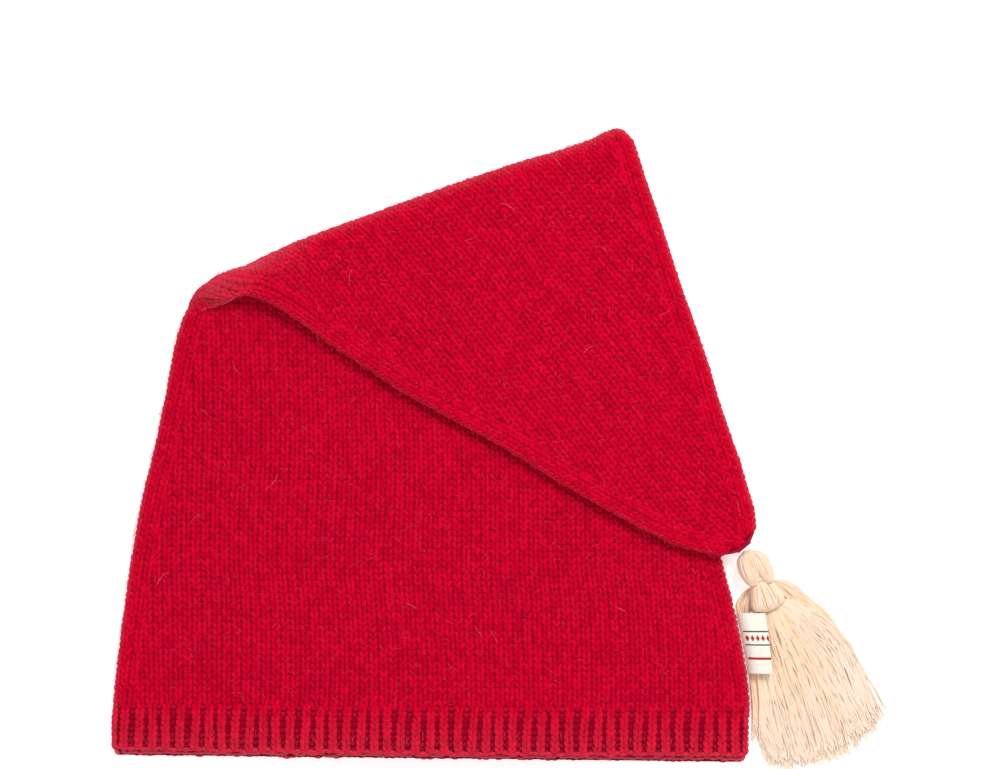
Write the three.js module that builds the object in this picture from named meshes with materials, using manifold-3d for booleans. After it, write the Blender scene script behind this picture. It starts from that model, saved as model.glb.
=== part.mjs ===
// A child's knitted stocking cap lying flat: two long pointed panels seamed along their sides, the
// pointed top folded over the front to the right, a yarn tassel at the tip and a small label in
// the right side seam. Millimetres, +Z up, hem along X, the fold towards +Y.
import * as THREE from 'three'
import { mergeVertices } from 'three/addons/utils/BufferGeometryUtils.js'
import Module from 'manifold-3d'

const wasm = await Module()
wasm.setup()

// The knitted panels
const hemWidth = 220
const capLength = 355.4
const knitThickness = 2.4
const ribBandHeight = 18.2
const ribPitch = 4.78
const ribCrestWidth = 2.6
const ribValleyWidth = 0.9
const ribValleyDepth = 0.7

// How the cap lies: clear heights between its two panels, and where its top folds over
const mouthHollow = 9
const foldHollow = 2
const topHollow = 1.6
const edgeHollow = 1.2
const hollowSharpness = 1.5
const leastRollShare = 0.6
const seamGap = 0.3
const hemStep = 2.2
const hemSlant = 2.4
const hemSlantReach = 60
const foldHeight = 194.1
const foldTilt = THREE.MathUtils.degToRad(19.9)
const foldSlack = 1.6
const foldSlip = 5.8
const foldSag = 3
const foldSagReach = 16
const restGap = 0.6
const settleLength = 30

// The tassel: a two-lobed head, a grooved knot and a skirt of locks
const tasselLean = THREE.MathUtils.degToRad(20.5)
const tasselGap = 0.8
const tasselAside = 0.8
const headLength = 11.4
const headHeight = 9
const lobeWidth = 6.8
const lobeSpread = 5
const knotLength = 12.6
const knotWidth = 11.4
const knotHeight = 10.4
const knotOverlap = 2.6
const lumpFullness = 0.8
const skirtLength = 60.5
const skirtSpread = THREE.MathUtils.degToRad(51)
const skirtFlare = 2.3
const skirtBulge = 24.5
const skirtRaggedness = 1.8
const skirtCrown = 2.4
const rootSpread = 1.6
const backRootDrop = -2.5
const frontRootDrop = 3.8
const lockThickness = 3.4
const lockOverlap = 1.35
const lockRootWidth = 2.8
const frontLift = 3.2
const frontTipLift = 0.85
const backLocks = 8
const frontLocks = 6
const skirtClearance = 0.5
const frontInset = 2.4
const bindingThread = 1.1
const bindingClearance = 0.3
const neckWidth = 7
const neckHeight = 6.9
const skirtNeckWidth = 8.4
const skirtNeckHeight = 7.5
const skirtNeckDrop = 4.5

// The label sewn in the right side seam, lying over the tassel
const labelReach = 9.7
const labelHeight = 20.8
const labelThickness = 0.7
const labelRise = 4.8
const labelRiseReach = 1.5
const labelFoot = 29.5
const labelFootReach = 8.1

// Fineness of the faceted surfaces
const flatColumns = 14
const rollSteps = 3
const baseRows = 10
const bendSteps = 9
const flapRows = 13
const lockSides = 6
const lockSteps = 5
const lumpSteps = 6
const lumpSides = 12
const lumpEnd = 0.35
const threadSides = 6
const threadSteps = 20
const labelColumns = 8
const labelRows = 4

// Half width of a panel and how far its middle lies aside, as shares of half the hem width, at
// shares of the cap's length
const outlineTable = [
  { up: 0.000, across: 0.985, aside: 0.003 },
  { up: 0.012, across: 1.002, aside: 0.003 },
  { up: 0.030, across: 1.002, aside: 0.004 },
  { up: 0.062, across: 0.997, aside: 0.008 },
  { up: 0.149, across: 0.956, aside: 0.000 },
  { up: 0.193, across: 0.928, aside: -0.008 },
  { up: 0.254, across: 0.896, aside: -0.004 },
  { up: 0.300, across: 0.864, aside: 0.000 },
  { up: 0.348, across: 0.831, aside: 0.000 },
  { up: 0.396, across: 0.802, aside: 0.000 },
  { up: 0.433, across: 0.769, aside: 0.000 },
  { up: 0.532, across: 0.668, aside: 0.000 },
  { up: 0.629, across: 0.549, aside: 0.000 },
  { up: 0.670, across: 0.503, aside: -0.006 },
  { up: 0.771, across: 0.375, aside: -0.006 },
  { up: 0.836, across: 0.300, aside: -0.010 },
  { up: 0.878, across: 0.246, aside: -0.014 },
  { up: 0.946, across: 0.158, aside: -0.012 },
  { up: 0.980, across: 0.096, aside: 0.000 },
  { up: 0.991, across: 0.066, aside: 0.003 },
  { up: 1.000, across: 0.028, aside: 0.004 },
]

// Sag of the fold line along its length, as shares of the fold's half width and of foldSag
const sagTable = [
  { across: -1.00, sag: 1.00 },
  { across: -0.85, sag: 0.30 },
  { across: -0.60, sag: 0.04 },
  { across: 0.00, sag: 0.00 },
  { across: 0.40, sag: 0.10 },
  { across: 0.70, sag: 0.40 },
  { across: 1.00, sag: 0.40 },
]

// Width and thickness of a lock of the skirt along its length, as shares of the fan's spacing and
// of lockThickness
const lockTable = [
  { along: 0.00, width: 0.55, thick: 0.70 },
  { along: 0.20, width: 0.85, thick: 1.00 },
  { along: 0.45, width: 1.00, thick: 1.05 },
  { along: 0.75, width: 1.00, thick: 0.85 },
  { along: 0.93, width: 0.92, thick: 0.65 },
  { along: 1.00, width: 0.50, thick: 0.35 },
]

// Smooth curves and small helpers
const clamp = THREE.MathUtils.clamp
const lerp = THREE.MathUtils.lerp
const ease = (t) => THREE.MathUtils.smoothstep(t, 0, 1)

function smoothTable(table, from, to) {
  const last = table.length - 1
  const chord = (i) => (table[i + 1][to] - table[i][to]) / (table[i + 1][from] - table[i][from])
  const slopes = table.map((row, i) => {
    if (i === 0) return chord(0)
    if (i === last) return chord(last - 1)
    const before = chord(i - 1)
    const after = chord(i)
    return before * after <= 0 ? 0 : (2 * before * after) / (before + after)
  })
  return (at) => {
    const t = clamp(at, table[0][from], table[last][from])
    let i = 0
    while (i < last - 1 && t > table[i + 1][from]) i += 1
    const span = table[i + 1][from] - table[i][from]
    const u = (t - table[i][from]) / span
    const start = (1 + 2 * u) * (1 - u) ** 2 * table[i][to] + u * (1 - u) ** 2 * span * slopes[i]
    const end = u * u * (3 - 2 * u) * table[i + 1][to] + u * u * (u - 1) * span * slopes[i + 1]
    return start + end
  }
}

const outlineShare = smoothTable(outlineTable, 'up', 'across')
const asideShare = smoothTable(outlineTable, 'up', 'aside')
const sagShare = smoothTable(sagTable, 'across', 'sag')
const lockWidthShare = smoothTable(lockTable, 'along', 'width')
const lockThickShare = smoothTable(lockTable, 'along', 'thick')

// The flat cap before it is folded: across from its middle, up from its hem
const rollRadius = knitThickness + edgeHollow / 2
const flatEnd = capLength - rollRadius
const halfWidth = (up) => (hemWidth / 2) * outlineShare(up / capLength)
const asideShift = (up) => (hemWidth / 2) * asideShare(up / capLength)
const rollWidth = (up) => Math.min(rollRadius, leastRollShare * halfWidth(up))
const flatWidth = (up) => halfWidth(up) - rollWidth(up)

function hollowHeight(share, up) {
  const below = lerp(mouthHollow, foldHollow, clamp(up / foldHeight, 0, 1))
  const above = lerp(foldHollow, topHollow, ease((up - foldHeight) / settleLength))
  const middle = lerp(edgeHollow, up < foldHeight ? below : above, ease((flatEnd - up) / settleLength))
  return edgeHollow + (middle - edgeHollow) * (1 - share * share) ** hollowSharpness
}

const capThickness = (share, up) => 2 * knitThickness + hollowHeight(share, up)

// The fold: a half turn of its own radius about a tilted line, the top slipping along it
const foldRadius = (2 * knitThickness + foldHollow + foldSlack) / 2
const foldReach = (Math.PI / 2) * foldRadius
const foldAlong = new THREE.Vector2(Math.cos(foldTilt), Math.sin(foldTilt))
const foldBeyond = new THREE.Vector2(-foldAlong.y, foldAlong.x)

function supportHeight(x, up) {
  const share = clamp((x - asideShift(up)) / flatWidth(up), -1, 1)
  return capThickness(share, up) + restGap
}

function foldedPoint(across, up, height) {
  const share = clamp(across / flatWidth(up), -1, 1)
  const thickness = capThickness(share, up)
  const aside = across + asideShift(up)
  const beyondLine = aside * foldBeyond.x + (up - foldHeight) * foldBeyond.y
  const alongLine = aside * foldAlong.x + (up - foldHeight) * foldAlong.y
  const sag = foldSag * sagShare(share) * Math.exp(-((beyondLine / foldSagReach) ** 2))
  const past = beyondLine + sag
  const turn = clamp((past + foldReach) / foldRadius, 0, Math.PI)
  const layerRadius = foldRadius - (height - thickness / 2)
  const slipped = alongLine + (foldSlip * turn) / Math.PI
  let reach = past
  let z = height
  if (turn >= Math.PI) {
    reach = -past
  } else if (turn > 0) {
    reach = -foldReach + layerRadius * Math.sin(turn)
    z = thickness / 2 + foldRadius - layerRadius * Math.cos(turn)
  }
  const x = slipped * foldAlong.x + (reach - sag) * foldBeyond.x
  let y = foldHeight + slipped * foldAlong.y + (reach - sag) * foldBeyond.y
  if (turn >= Math.PI) {
    const settled = ease((past - foldReach) / settleLength)
    z = lerp(2 * foldRadius, supportHeight(x, y), settled) + thickness - height
  }
  if (turn === 0) y -= (hemSlant / 2) * share * (1 - clamp(up / hemSlantReach, 0, 1)) ** 2
  return new THREE.Vector3(x, y, z)
}

// A closed mesh from points and triangles, turned so that its faces point out
function closedGeometry(points, triangles) {
  const volume = triangles.reduce((sum, [a, b, c]) => {
    return sum + points[a].dot(new THREE.Vector3().crossVectors(points[b], points[c]))
  }, 0)
  const outward = volume < 0 ? triangles.map(([a, b, c]) => [a, c, b]) : triangles
  const geometry = new THREE.BufferGeometry().setFromPoints(points)
  geometry.setIndex(outward.flat())
  return geometry
}

// The strip of triangles between two rows of numbered points, each with its place along the row
function strip(lower, upper) {
  const triangles = []
  let i = 0
  let j = 0
  while (i < lower.length - 1 || j < upper.length - 1) {
    const nextLower = i < lower.length - 1 ? lower[i + 1].place : Infinity
    const nextUpper = j < upper.length - 1 ? upper[j + 1].place : Infinity
    const even = lower.length === upper.length
    if (even ? i <= j : nextLower <= nextUpper) {
      triangles.push([lower[i].id, lower[i + 1].id, upper[j].id])
      i += 1
    } else {
      triangles.push([lower[i].id, upper[j + 1].id, upper[j].id])
      j += 1
    }
  }
  return triangles
}

// Columns across a panel: flat ones by their share, and those of the edge rolls by their turn
function plainColumns() {
  const columns = []
  for (let i = rollSteps; i > 0; i -= 1) columns.push({ share: -1, turn: (-i / rollSteps) * (Math.PI / 2) })
  for (let i = 0; i <= flatColumns; i += 1) columns.push({ share: (2 * i) / flatColumns - 1, turn: 0 })
  for (let i = 1; i <= rollSteps; i += 1) columns.push({ share: 1, turn: (i / rollSteps) * (Math.PI / 2) })
  return columns
}

// Columns of the ribbed hem: each rib is a crest with a valley on both sides
function ribColumns(up) {
  const left = plainColumns().filter((column) => column.turn < 0)
  const right = plainColumns().filter((column) => column.turn > 0)
  const flat = flatWidth(up)
  const count = Math.floor((2 * flat) / ribPitch)
  const ribs = []
  for (let i = 0; i < count; i += 1) {
    const middle = (i - (count - 1) / 2) * ribPitch
    const crest = ribCrestWidth / 2
    const valley = (ribPitch - ribValleyWidth) / 2
    ribs.push({ share: (middle - valley) / flat, turn: 0, depth: ribValleyDepth })
    ribs.push({ share: (middle - crest) / flat, turn: 0, depth: 0 })
    ribs.push({ share: (middle + crest) / flat, turn: 0, depth: 0 })
    ribs.push({ share: (middle + valley) / flat, turn: 0, depth: ribValleyDepth })
  }
  return [...left, ...ribs, ...right]
}

// Rows up a panel: level at the hem, along the fold line in the fold, level again at the tip
function panelRows(hem) {
  const tilt = Math.tan(foldTilt)
  const bendStart = foldHeight - foldReach / Math.cos(foldTilt)
  const bendEnd = foldHeight + foldReach / Math.cos(foldTilt)
  const rows = [
    { up: hem, slope: 0, tip: 0, ribbed: true },
    { up: ribBandHeight, slope: 0, tip: 0, ribbed: true },
  ]
  const plainStart = ribBandHeight + ribValleyDepth
  for (let i = 0; i < baseRows; i += 1) {
    const up = lerp(plainStart, bendStart, i / baseRows)
    rows.push({ up, slope: tilt * ease((up - plainStart) / (bendStart - plainStart)), tip: 0 })
  }
  for (let i = 0; i < bendSteps; i += 1) {
    rows.push({ up: lerp(bendStart, bendEnd, i / bendSteps), slope: tilt, tip: 0 })
  }
  for (let i = 0; i <= flapRows; i += 1) {
    const up = lerp(bendEnd, flatEnd, i / flapRows)
    rows.push({ up, slope: tilt * (1 - ease((up - bendEnd) / (flatEnd - bendEnd))), tip: 0 })
  }
  for (let i = 1; i <= rollSteps; i += 1) {
    rows.push({ up: flatEnd, slope: 0, tip: (i / rollSteps) * (Math.PI / 2) })
  }
  return rows
}

// One point of a panel: which panel, its outer or inner face, the row and the column
function panelPoint(panel, face, row, column) {
  const inset = face === 'outer' ? 0 : knitThickness
  const radius = rollRadius - inset
  const tipRise = Math.sin(row.tip)
  let across = 0
  let up = row.up
  let outerUp = row.up
  for (let i = 0; i < 6; i += 1) {
    outerUp = clamp(row.up + row.slope * across + rollRadius * tipRise, 0, capLength)
    up = row.up + row.slope * across + radius * tipRise
    const roll = (rollWidth(outerUp) * radius) / rollRadius
    across = column.share * flatWidth(outerUp) + roll * Math.sin(column.turn)
  }
  const groove = face === 'outer' && column.depth ? column.depth : 0
  const depth = rollRadius - radius * Math.cos(column.turn) * Math.cos(row.tip) + groove
  const thickness = capThickness(column.share, up)
  const height = panel === 'back'
    ? Math.min(depth, rollRadius - seamGap / 2)
    : Math.max(thickness - depth, rollRadius + seamGap / 2)
  return foldedPoint(across, up, height)
}

// A closed sheet between rows of outer and of inner points, joined along its four edges
function sheetGeometry(outerRows, innerRows) {
  const points = []
  const number = (row) => row.map(({ point, place }) => {
    points.push(point)
    return { id: points.length - 1, place }
  })
  const outer = outerRows.map(number)
  const inner = innerRows.map(number)
  const triangles = []
  const flipped = (list) => list.map(([a, b, c]) => [a, c, b])
  const edge = (rows, at) => rows.map((row, i) => ({ id: row.at(at).id, place: i }))
  for (let i = 0; i < outer.length - 1; i += 1) {
    triangles.push(...strip(outer[i], outer[i + 1]))
    triangles.push(...flipped(strip(inner[i], inner[i + 1])))
  }
  triangles.push(...flipped(strip(outer[0], inner[0])))
  triangles.push(...strip(outer.at(-1), inner.at(-1)))
  triangles.push(...strip(edge(outer, 0), edge(inner, 0)))
  triangles.push(...flipped(strip(edge(outer, -1), edge(inner, -1))))
  return closedGeometry(points, triangles)
}

function panelGeometry(panel) {
  const rows = panelRows(panel === 'back' ? 0 : hemStep)
  const faceRows = (face) => rows.map((row) => {
    const columns = row.ribbed && face === 'outer' ? ribColumns(row.up) : plainColumns()
    return columns.map((column) => {
      return { point: panelPoint(panel, face, row, column), place: column.share + column.turn }
    })
  })
  return sheetGeometry(faceRows('outer'), faceRows('inner'))
}

// Rings of points joined into a closed skin, with a middle point at each end
function ringGeometry(rings) {
  const sides = rings[0].length
  const points = rings.flat()
  const triangles = []
  for (let r = 0; r < rings.length - 1; r += 1) {
    for (let s = 0; s < sides; s += 1) {
      const a = r * sides + s
      const b = r * sides + ((s + 1) % sides)
      triangles.push([a, b, b + sides], [a, b + sides, a + sides])
    }
  }
  const ends = [{ ring: rings[0], at: 0, turned: true }, { ring: rings.at(-1), at: rings.length - 1 }]
  for (const end of ends) {
    const middle = new THREE.Vector3()
    end.ring.forEach((point) => middle.addScaledVector(point, 1 / sides))
    points.push(middle)
    const hub = points.length - 1
    for (let s = 0; s < sides; s += 1) {
      const a = end.at * sides + s
      const b = end.at * sides + ((s + 1) % sides)
      triangles.push(end.turned ? [b, a, hub] : [a, b, hub])
    }
  }
  return closedGeometry(points, triangles)
}

function toSolid(geometry) {
  const bare = geometry.clone()
  bare.deleteAttribute('normal')
  bare.deleteAttribute('uv')
  const merged = mergeVertices(bare, 1e-4)
  return new wasm.Manifold(new wasm.Mesh({
    numProp: 3,
    vertProperties: new Float32Array(merged.attributes.position.array),
    triVerts: new Uint32Array(merged.index.array),
  }))
}

function fromSolid(solid) {
  const mesh = solid.getMesh()
  const geometry = new THREE.BufferGeometry()
  geometry.setAttribute('position', new THREE.BufferAttribute(mesh.vertProperties.slice(), 3))
  geometry.setIndex(new THREE.BufferAttribute(mesh.triVerts.slice(), 1))
  return geometry
}

// The tassel's own frame: its axis runs down and right from the cap's tip, along the surface
const tipPoint = foldedPoint(0, capLength, rollRadius)
const tasselDown = new THREE.Vector3(Math.sin(tasselLean), -Math.cos(tasselLean), 0)
const tasselRight = new THREE.Vector3(Math.cos(tasselLean), Math.sin(tasselLean), 0)
const knotFromTip = tasselGap + headLength + knotLength / 2 - knotOverlap
const capEdge = (y) => halfWidth(clamp(y, 0, foldHeight)) + asideShift(clamp(y, 0, foldHeight))

const knotMiddle = tipPoint.clone().addScaledVector(tasselDown, knotFromTip)
knotMiddle.addScaledVector(tasselRight, tasselAside)
knotMiddle.x = Math.max(knotMiddle.x, capEdge(knotMiddle.y) + skirtClearance + knotWidth / 2)
knotMiddle.z = knotHeight / 2

function tasselPoint(right, down, height) {
  const point = knotMiddle.clone().addScaledVector(tasselRight, right).addScaledVector(tasselDown, down)
  point.z = height
  return point
}

// A rounded lump of wound yarn along the tassel's axis
function yarnLump({ right, down, height, width, length, tall }) {
  const rings = []
  for (let i = 0; i <= lumpSteps; i += 1) {
    const polar = (Math.PI * (i + lumpEnd)) / (lumpSteps + 2 * lumpEnd)
    const girth = Math.sin(polar) ** lumpFullness
    const along = down - (length / 2) * Math.cos(polar)
    const ring = []
    for (let s = 0; s < lumpSides; s += 1) {
      const round = (2 * Math.PI * s) / lumpSides
      const z = height + (tall / 2) * girth * Math.sin(round)
      ring.push(tasselPoint(right + (width / 2) * girth * Math.cos(round), along, z))
    }
    rings.push(ring)
  }
  return toSolid(ringGeometry(rings))
}

// A lock: a flat tapering hank from the knot to its end in the fan, kept clear of the cap's edge
function skirtLock(angle, length, layer, spacing) {
  const flare = skirtFlare * angle
  const leaving = new THREE.Vector2(Math.sin(flare), Math.cos(flare))
  const start = new THREE.Vector2(rootSpread * leaving.x, layer ? frontRootDrop : backRootDrop)
  const bulge = leaving.clone().multiplyScalar(skirtBulge).add(start)
  const end = new THREE.Vector2(Math.sin(angle), Math.cos(angle)).multiplyScalar(length)
  const curve = new THREE.QuadraticBezierCurve(start, bulge, end)
  const rings = []
  for (let i = 0; i <= lockSteps; i += 1) {
    const along = i / lockSteps
    const at = curve.getPoint(along)
    const tangent = curve.getTangent(along)
    const width = lerp(lockRootWidth, spacing, ease(along)) * lockWidthShare(along) * lockOverlap
    const tall = lockThickness * lockThickShare(along)
    const lifted = layer * lerp(frontLift, frontTipLift, ease(along))
    const middle = tasselPoint(at.x, at.y, tall / 2 + lifted)
    const edge = capEdge(middle.y) + skirtClearance + layer * frontInset + width / 2
    middle.x = Math.max(middle.x, edge)
    const side = tasselRight.clone().multiplyScalar(tangent.y).addScaledVector(tasselDown, -tangent.x)
    const ring = []
    for (let s = 0; s < lockSides; s += 1) {
      const round = (2 * Math.PI * s) / lockSides
      const point = middle.clone().addScaledVector(side, (width / 2) * Math.cos(round))
      point.z += (tall / 2) * Math.sin(round)
      ring.push(point)
    }
    rings.push(ring)
  }
  return toSolid(ringGeometry(rings))
}

// The locks of one layer, shorter towards the fan's sides and unevenly cut
function skirtLocks(count, layer) {
  const spacing = (skirtSpread * skirtLength) / count
  return Array.from({ length: count }, (_, i) => {
    const share = (2 * i + 1) / count - 1
    const uneven = skirtRaggedness * Math.sin(count * (i + 1))
    const length = skirtLength - skirtCrown * (share * share + layer) + uneven
    return skirtLock((share * skirtSpread) / 2, length, layer, spacing)
  })
}

// A thread wound round the tassel: an oval ring across its axis
function bindingRing(down, wide, tall, middle, thread) {
  const ring = new THREE.TorusGeometry(2, 1, threadSides, threadSteps)
  const position = ring.attributes.position
  const point = new THREE.Vector3()
  for (let i = 0; i < position.count; i += 1) {
    point.fromBufferAttribute(position, i)
    const round = Math.atan2(point.y, point.x)
    const spread = Math.hypot(point.x, point.y) - 2
    const right = (wide / 2 + (thread / 2) * spread) * Math.cos(round)
    const z = middle + (tall / 2 + (thread / 2) * spread) * Math.sin(round)
    const placed = tasselPoint(right, down + (thread / 2) * point.z, z)
    position.setXYZ(i, placed.x, placed.y, placed.z)
  }
  return ring
}

const headDown = -(knotLength + headLength) / 2 + knotOverlap
const neckDown = -knotLength / 2 + knotOverlap / 2
const headMiddle = lerp(knotMiddle.z, tipPoint.z, 0.5)
const upperRing = (thread) => bindingRing(neckDown, neckWidth, neckHeight, knotMiddle.z, thread)
const lowerRing = (thread) => {
  return bindingRing(skirtNeckDrop, skirtNeckWidth, skirtNeckHeight, knotMiddle.z, thread)
}

function tasselGeometry() {
  const lobe = { down: headDown, height: headMiddle, width: lobeWidth, length: headLength, tall: headHeight }
  const knot = { down: 0, height: knotMiddle.z, width: knotWidth, length: knotLength, tall: knotHeight }
  const lumps = [
    yarnLump({ ...lobe, right: -lobeSpread / 2 }),
    yarnLump({ ...lobe, right: lobeSpread / 2 }),
    yarnLump({ ...knot, right: 0 }),
  ]
  const whole = [...lumps, ...skirtLocks(backLocks, 0), ...skirtLocks(frontLocks, 1)]
  let solid = whole[0]
  for (const piece of whole.slice(1)) solid = solid.add(piece)
  const cleared = bindingThread + 2 * bindingClearance
  solid = solid.subtract(toSolid(upperRing(cleared))).subtract(toSolid(lowerRing(cleared)))
  return fromSolid(solid)
}

function bindingGeometry(ring) {
  return fromSolid(toSolid(ring(bindingThread)))
}

// The label: a strip caught at the seam, rising over the tassel's edge and then lying level
function labelGeometry() {
  const faceRows = (offset) => Array.from({ length: labelRows + 1 }, (_, i) => {
    const y = labelFoot + (labelHeight * i) / labelRows
    const reach = lerp(labelFootReach, labelReach, i / labelRows)
    return Array.from({ length: labelColumns + 1 }, (_unused, j) => {
      const out = (reach * j) / labelColumns
      const z = rollRadius + labelRise * (1 - Math.exp(-out / labelRiseReach)) + offset
      return { point: new THREE.Vector3(capEdge(y) + seamGap + out, y, z), place: j }
    })
  })
  return sheetGeometry(faceRows(labelThickness / 2), faceRows(-labelThickness / 2))
}

// Materials
const redKnit = new THREE.MeshStandardMaterial({ color: 0xbc0a2a, roughness: 0.95, metalness: 0 })
const creamYarn = new THREE.MeshStandardMaterial({ color: 0xfae1c5, roughness: 0.9, metalness: 0 })
const creamThread = new THREE.MeshStandardMaterial({ color: 0xf2dcc0, roughness: 0.9, metalness: 0 })
const labelTape = new THREE.MeshStandardMaterial({ color: 0xf2e8da, roughness: 0.8, metalness: 0 })

function named(name, geometry, material) {
  const mesh = new THREE.Mesh(geometry, material)
  mesh.name = name
  return mesh
}

const cap = new THREE.Group()
cap.add(named('front_panel', panelGeometry('front'), redKnit))
cap.add(named('back_panel', panelGeometry('back'), redKnit.clone()))

const tassel = new THREE.Group()
tassel.add(named('tassel', tasselGeometry(), creamYarn))
tassel.add(named('upper_binding', bindingGeometry(upperRing), creamThread))
tassel.add(named('lower_binding', bindingGeometry(lowerRing), creamThread.clone()))

const part = new THREE.Group()
part.add(cap)
part.add(tassel)
part.add(named('side_label', labelGeometry(), labelTape))

// The origin: under the middle of the whole part
const bounds = new THREE.Box3().setFromObject(part)
const middle = bounds.getCenter(new THREE.Vector3())
part.position.set(-middle.x, -middle.y, -bounds.min.z)

export default part
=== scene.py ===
# A child's knitted stocking cap lying flat: two long pointed panels with ribbed hems, the pointed
# top folded over the front, a yarn tassel at the tip and a woven label in the right side seam.
import math

import bpy
import numpy as np
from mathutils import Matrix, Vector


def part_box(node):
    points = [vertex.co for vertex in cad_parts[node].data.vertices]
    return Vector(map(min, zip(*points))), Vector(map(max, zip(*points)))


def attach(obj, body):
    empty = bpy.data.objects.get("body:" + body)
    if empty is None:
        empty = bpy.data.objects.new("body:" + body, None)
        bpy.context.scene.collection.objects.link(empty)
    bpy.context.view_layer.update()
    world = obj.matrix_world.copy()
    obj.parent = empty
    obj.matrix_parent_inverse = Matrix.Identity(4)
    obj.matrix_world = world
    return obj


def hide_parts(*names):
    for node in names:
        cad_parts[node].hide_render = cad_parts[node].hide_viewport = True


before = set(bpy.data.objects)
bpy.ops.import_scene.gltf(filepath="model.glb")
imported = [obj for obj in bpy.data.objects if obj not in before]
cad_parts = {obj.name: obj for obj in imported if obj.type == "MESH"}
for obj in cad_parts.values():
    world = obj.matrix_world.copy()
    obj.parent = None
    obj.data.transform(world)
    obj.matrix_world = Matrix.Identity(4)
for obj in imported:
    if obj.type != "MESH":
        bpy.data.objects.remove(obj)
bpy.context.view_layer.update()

# Studio
# A white paper table under soft light: a broad lamp from the fold's side, a weaker one across
# from it, and an even white surround. The camera looks straight down, as in the photo.
MM = 0.001
PICTURE_WIDTH = 344.8 * MM
PICTURE_MIDDLE = (-0.1 * MM, 22.4 * MM)
LENS, SENSOR = 180, 36
CAP_LEVEL = 4 * MM


def linear(code):
    """An sRGB hex colour as the linear colour that Blender's sockets take."""
    parts = [int(code[i:i + 2], 16) / 255 for i in (1, 3, 5)]
    return [p / 12.92 if p <= 0.04045 else ((p + 0.055) / 1.055) ** 2.4 for p in parts] + [1]


def add(tree, kind, inputs=(), **settings):
    """Adds a node with its settings; an input is a plain value or another node's output."""
    made = tree.nodes.new(kind)
    for name, value in settings.items():
        setattr(made, name, value)
    for key, value in dict(inputs).items():
        if isinstance(value, bpy.types.NodeSocket):
            tree.links.new(value, made.inputs[key])
        else:
            made.inputs[key].default_value = value
    return made


def material(name, **values):
    """A new material, its node tree and its shader, with the shader's plain values set."""
    made = bpy.data.materials.new(name)
    made.use_nodes = True
    shader = made.node_tree.nodes["Principled BSDF"]
    for key, value in values.items():
        shader.inputs[key.replace("_", " ")].default_value = value
    return made, made.node_tree, shader


scene = bpy.context.scene
scene.view_settings.view_transform = "Standard"

camera_data = bpy.data.cameras.new("camera")
camera_data.lens, camera_data.sensor_width = LENS, SENSOR
camera_data.clip_start, camera_data.clip_end = 0.05, 20
camera = bpy.data.objects.new("camera", camera_data)
scene.collection.objects.link(camera)
camera.location = (*PICTURE_MIDDLE, CAP_LEVEL + PICTURE_WIDTH * LENS / SENSOR)
scene.camera = camera


def lamp(name, place, aim, size, power):
    """A soft square lamp that faces a point of the table."""
    light = bpy.data.lights.new(name, "AREA")
    light.size, light.energy = size, power
    made = bpy.data.objects.new(name, light)
    made.location = place
    away = np.array(place) - np.array(aim)
    flat = math.hypot(away[0], away[1])
    made.rotation_euler = (math.atan2(flat, away[2]), 0, math.atan2(away[0], -away[1]))
    scene.collection.objects.link(made)


lamp("key_lamp", (0.35, 0.6, 1.15), (0, 0, 0), 0.42, 11.8)
lamp("fill_lamp", (-0.35, -0.75, 1.0), (0, 0, 0), 1.0, 3.7)

world = bpy.data.worlds.new("white_surround")
world.use_nodes = True
world.node_tree.nodes["Background"].inputs["Color"].default_value = (1, 1, 1, 1)
world.node_tree.nodes["Background"].inputs["Strength"].default_value = 0.54
scene.world = world

# Matt white paper, lit from below as on a light table, so that it takes almost no shadow.
paper, paper_tree, paper_shader = material(
    "matt_white_paper", Roughness=0.9, Emission_Color=(1, 1, 1, 1), Emission_Strength=0.45)
paper_noise = add(paper_tree, "ShaderNodeTexNoise", {"Scale": 900.0})
paper_shade = add(paper_tree, "ShaderNodeMix", {
    0: paper_noise.outputs["Fac"], 6: linear("#fbfbfb"), 7: linear("#f7f7f7")}, data_type="RGBA")
paper_tree.links.new(paper_shade.outputs[2], paper_shader.inputs["Base Color"])


def mesh_piece(name, points, faces, finish):
    """A smooth mesh object from points in metres and faces."""
    mesh = bpy.data.meshes.new(name)
    mesh.from_pydata(np.asarray(points, float).tolist(), [], np.asarray(faces).tolist())
    mesh.materials.append(finish)
    mesh.polygons.foreach_set("use_smooth", [True] * len(mesh.polygons))
    made = bpy.data.objects.new(name, mesh)
    scene.collection.objects.link(made)
    return made


TABLE = 3.0
table_top = mesh_piece(
    "table_top", [(-TABLE, -TABLE, 0), (TABLE, -TABLE, 0), (TABLE, TABLE, 0), (-TABLE, TABLE, 0)],
    [(0, 1, 2, 3)], paper)

# Panel walls
# The front and back of the cap: two long pointed pieces of lambswool knit with their ribbed hems,
# seamed along both sides and folded over together. The walls are the body of the cloth under its
# stitches; their sizes in millimetres are the pattern's, flat before folding.
HEM_WIDTH, CAP_LENGTH = 220, 355.4
KNIT = 2.4
RIB_HEIGHT, RIB_PITCH = 18.2, 4.78
MOUTH_HOLLOW, FOLD_HOLLOW, TOP_HOLLOW, EDGE_HOLLOW = 9, 2, 1.6, 1.2
HOLLOW_SHARPNESS, LEAST_ROLL, SEAM_GAP = 1.5, 0.6, 0.3
HEM_STEP, HEM_SLANT, HEM_SLANT_REACH = 2.2, 2.4, 60
FOLD_HEIGHT, FOLD_TILT = 194.1, math.radians(19.9)
FOLD_SLACK, FOLD_SLIP, FOLD_SAG, FOLD_SAG_REACH = 1.6, 5.8, 3, 16
REST_GAP, SETTLE = 0.6, 30
# The fold's left end stands up as a bulky round shoulder: its share of the width, how high up the
# cap it is and how far along, and what it adds to the hollow and to the fold's radius
SHOULDER_FROM, SHOULDER_UP, SHOULDER_REACH, SHOULDER_HOLLOW, SHOULDER_RADIUS = .6, 161, 17, 2.6, 1.4
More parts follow.
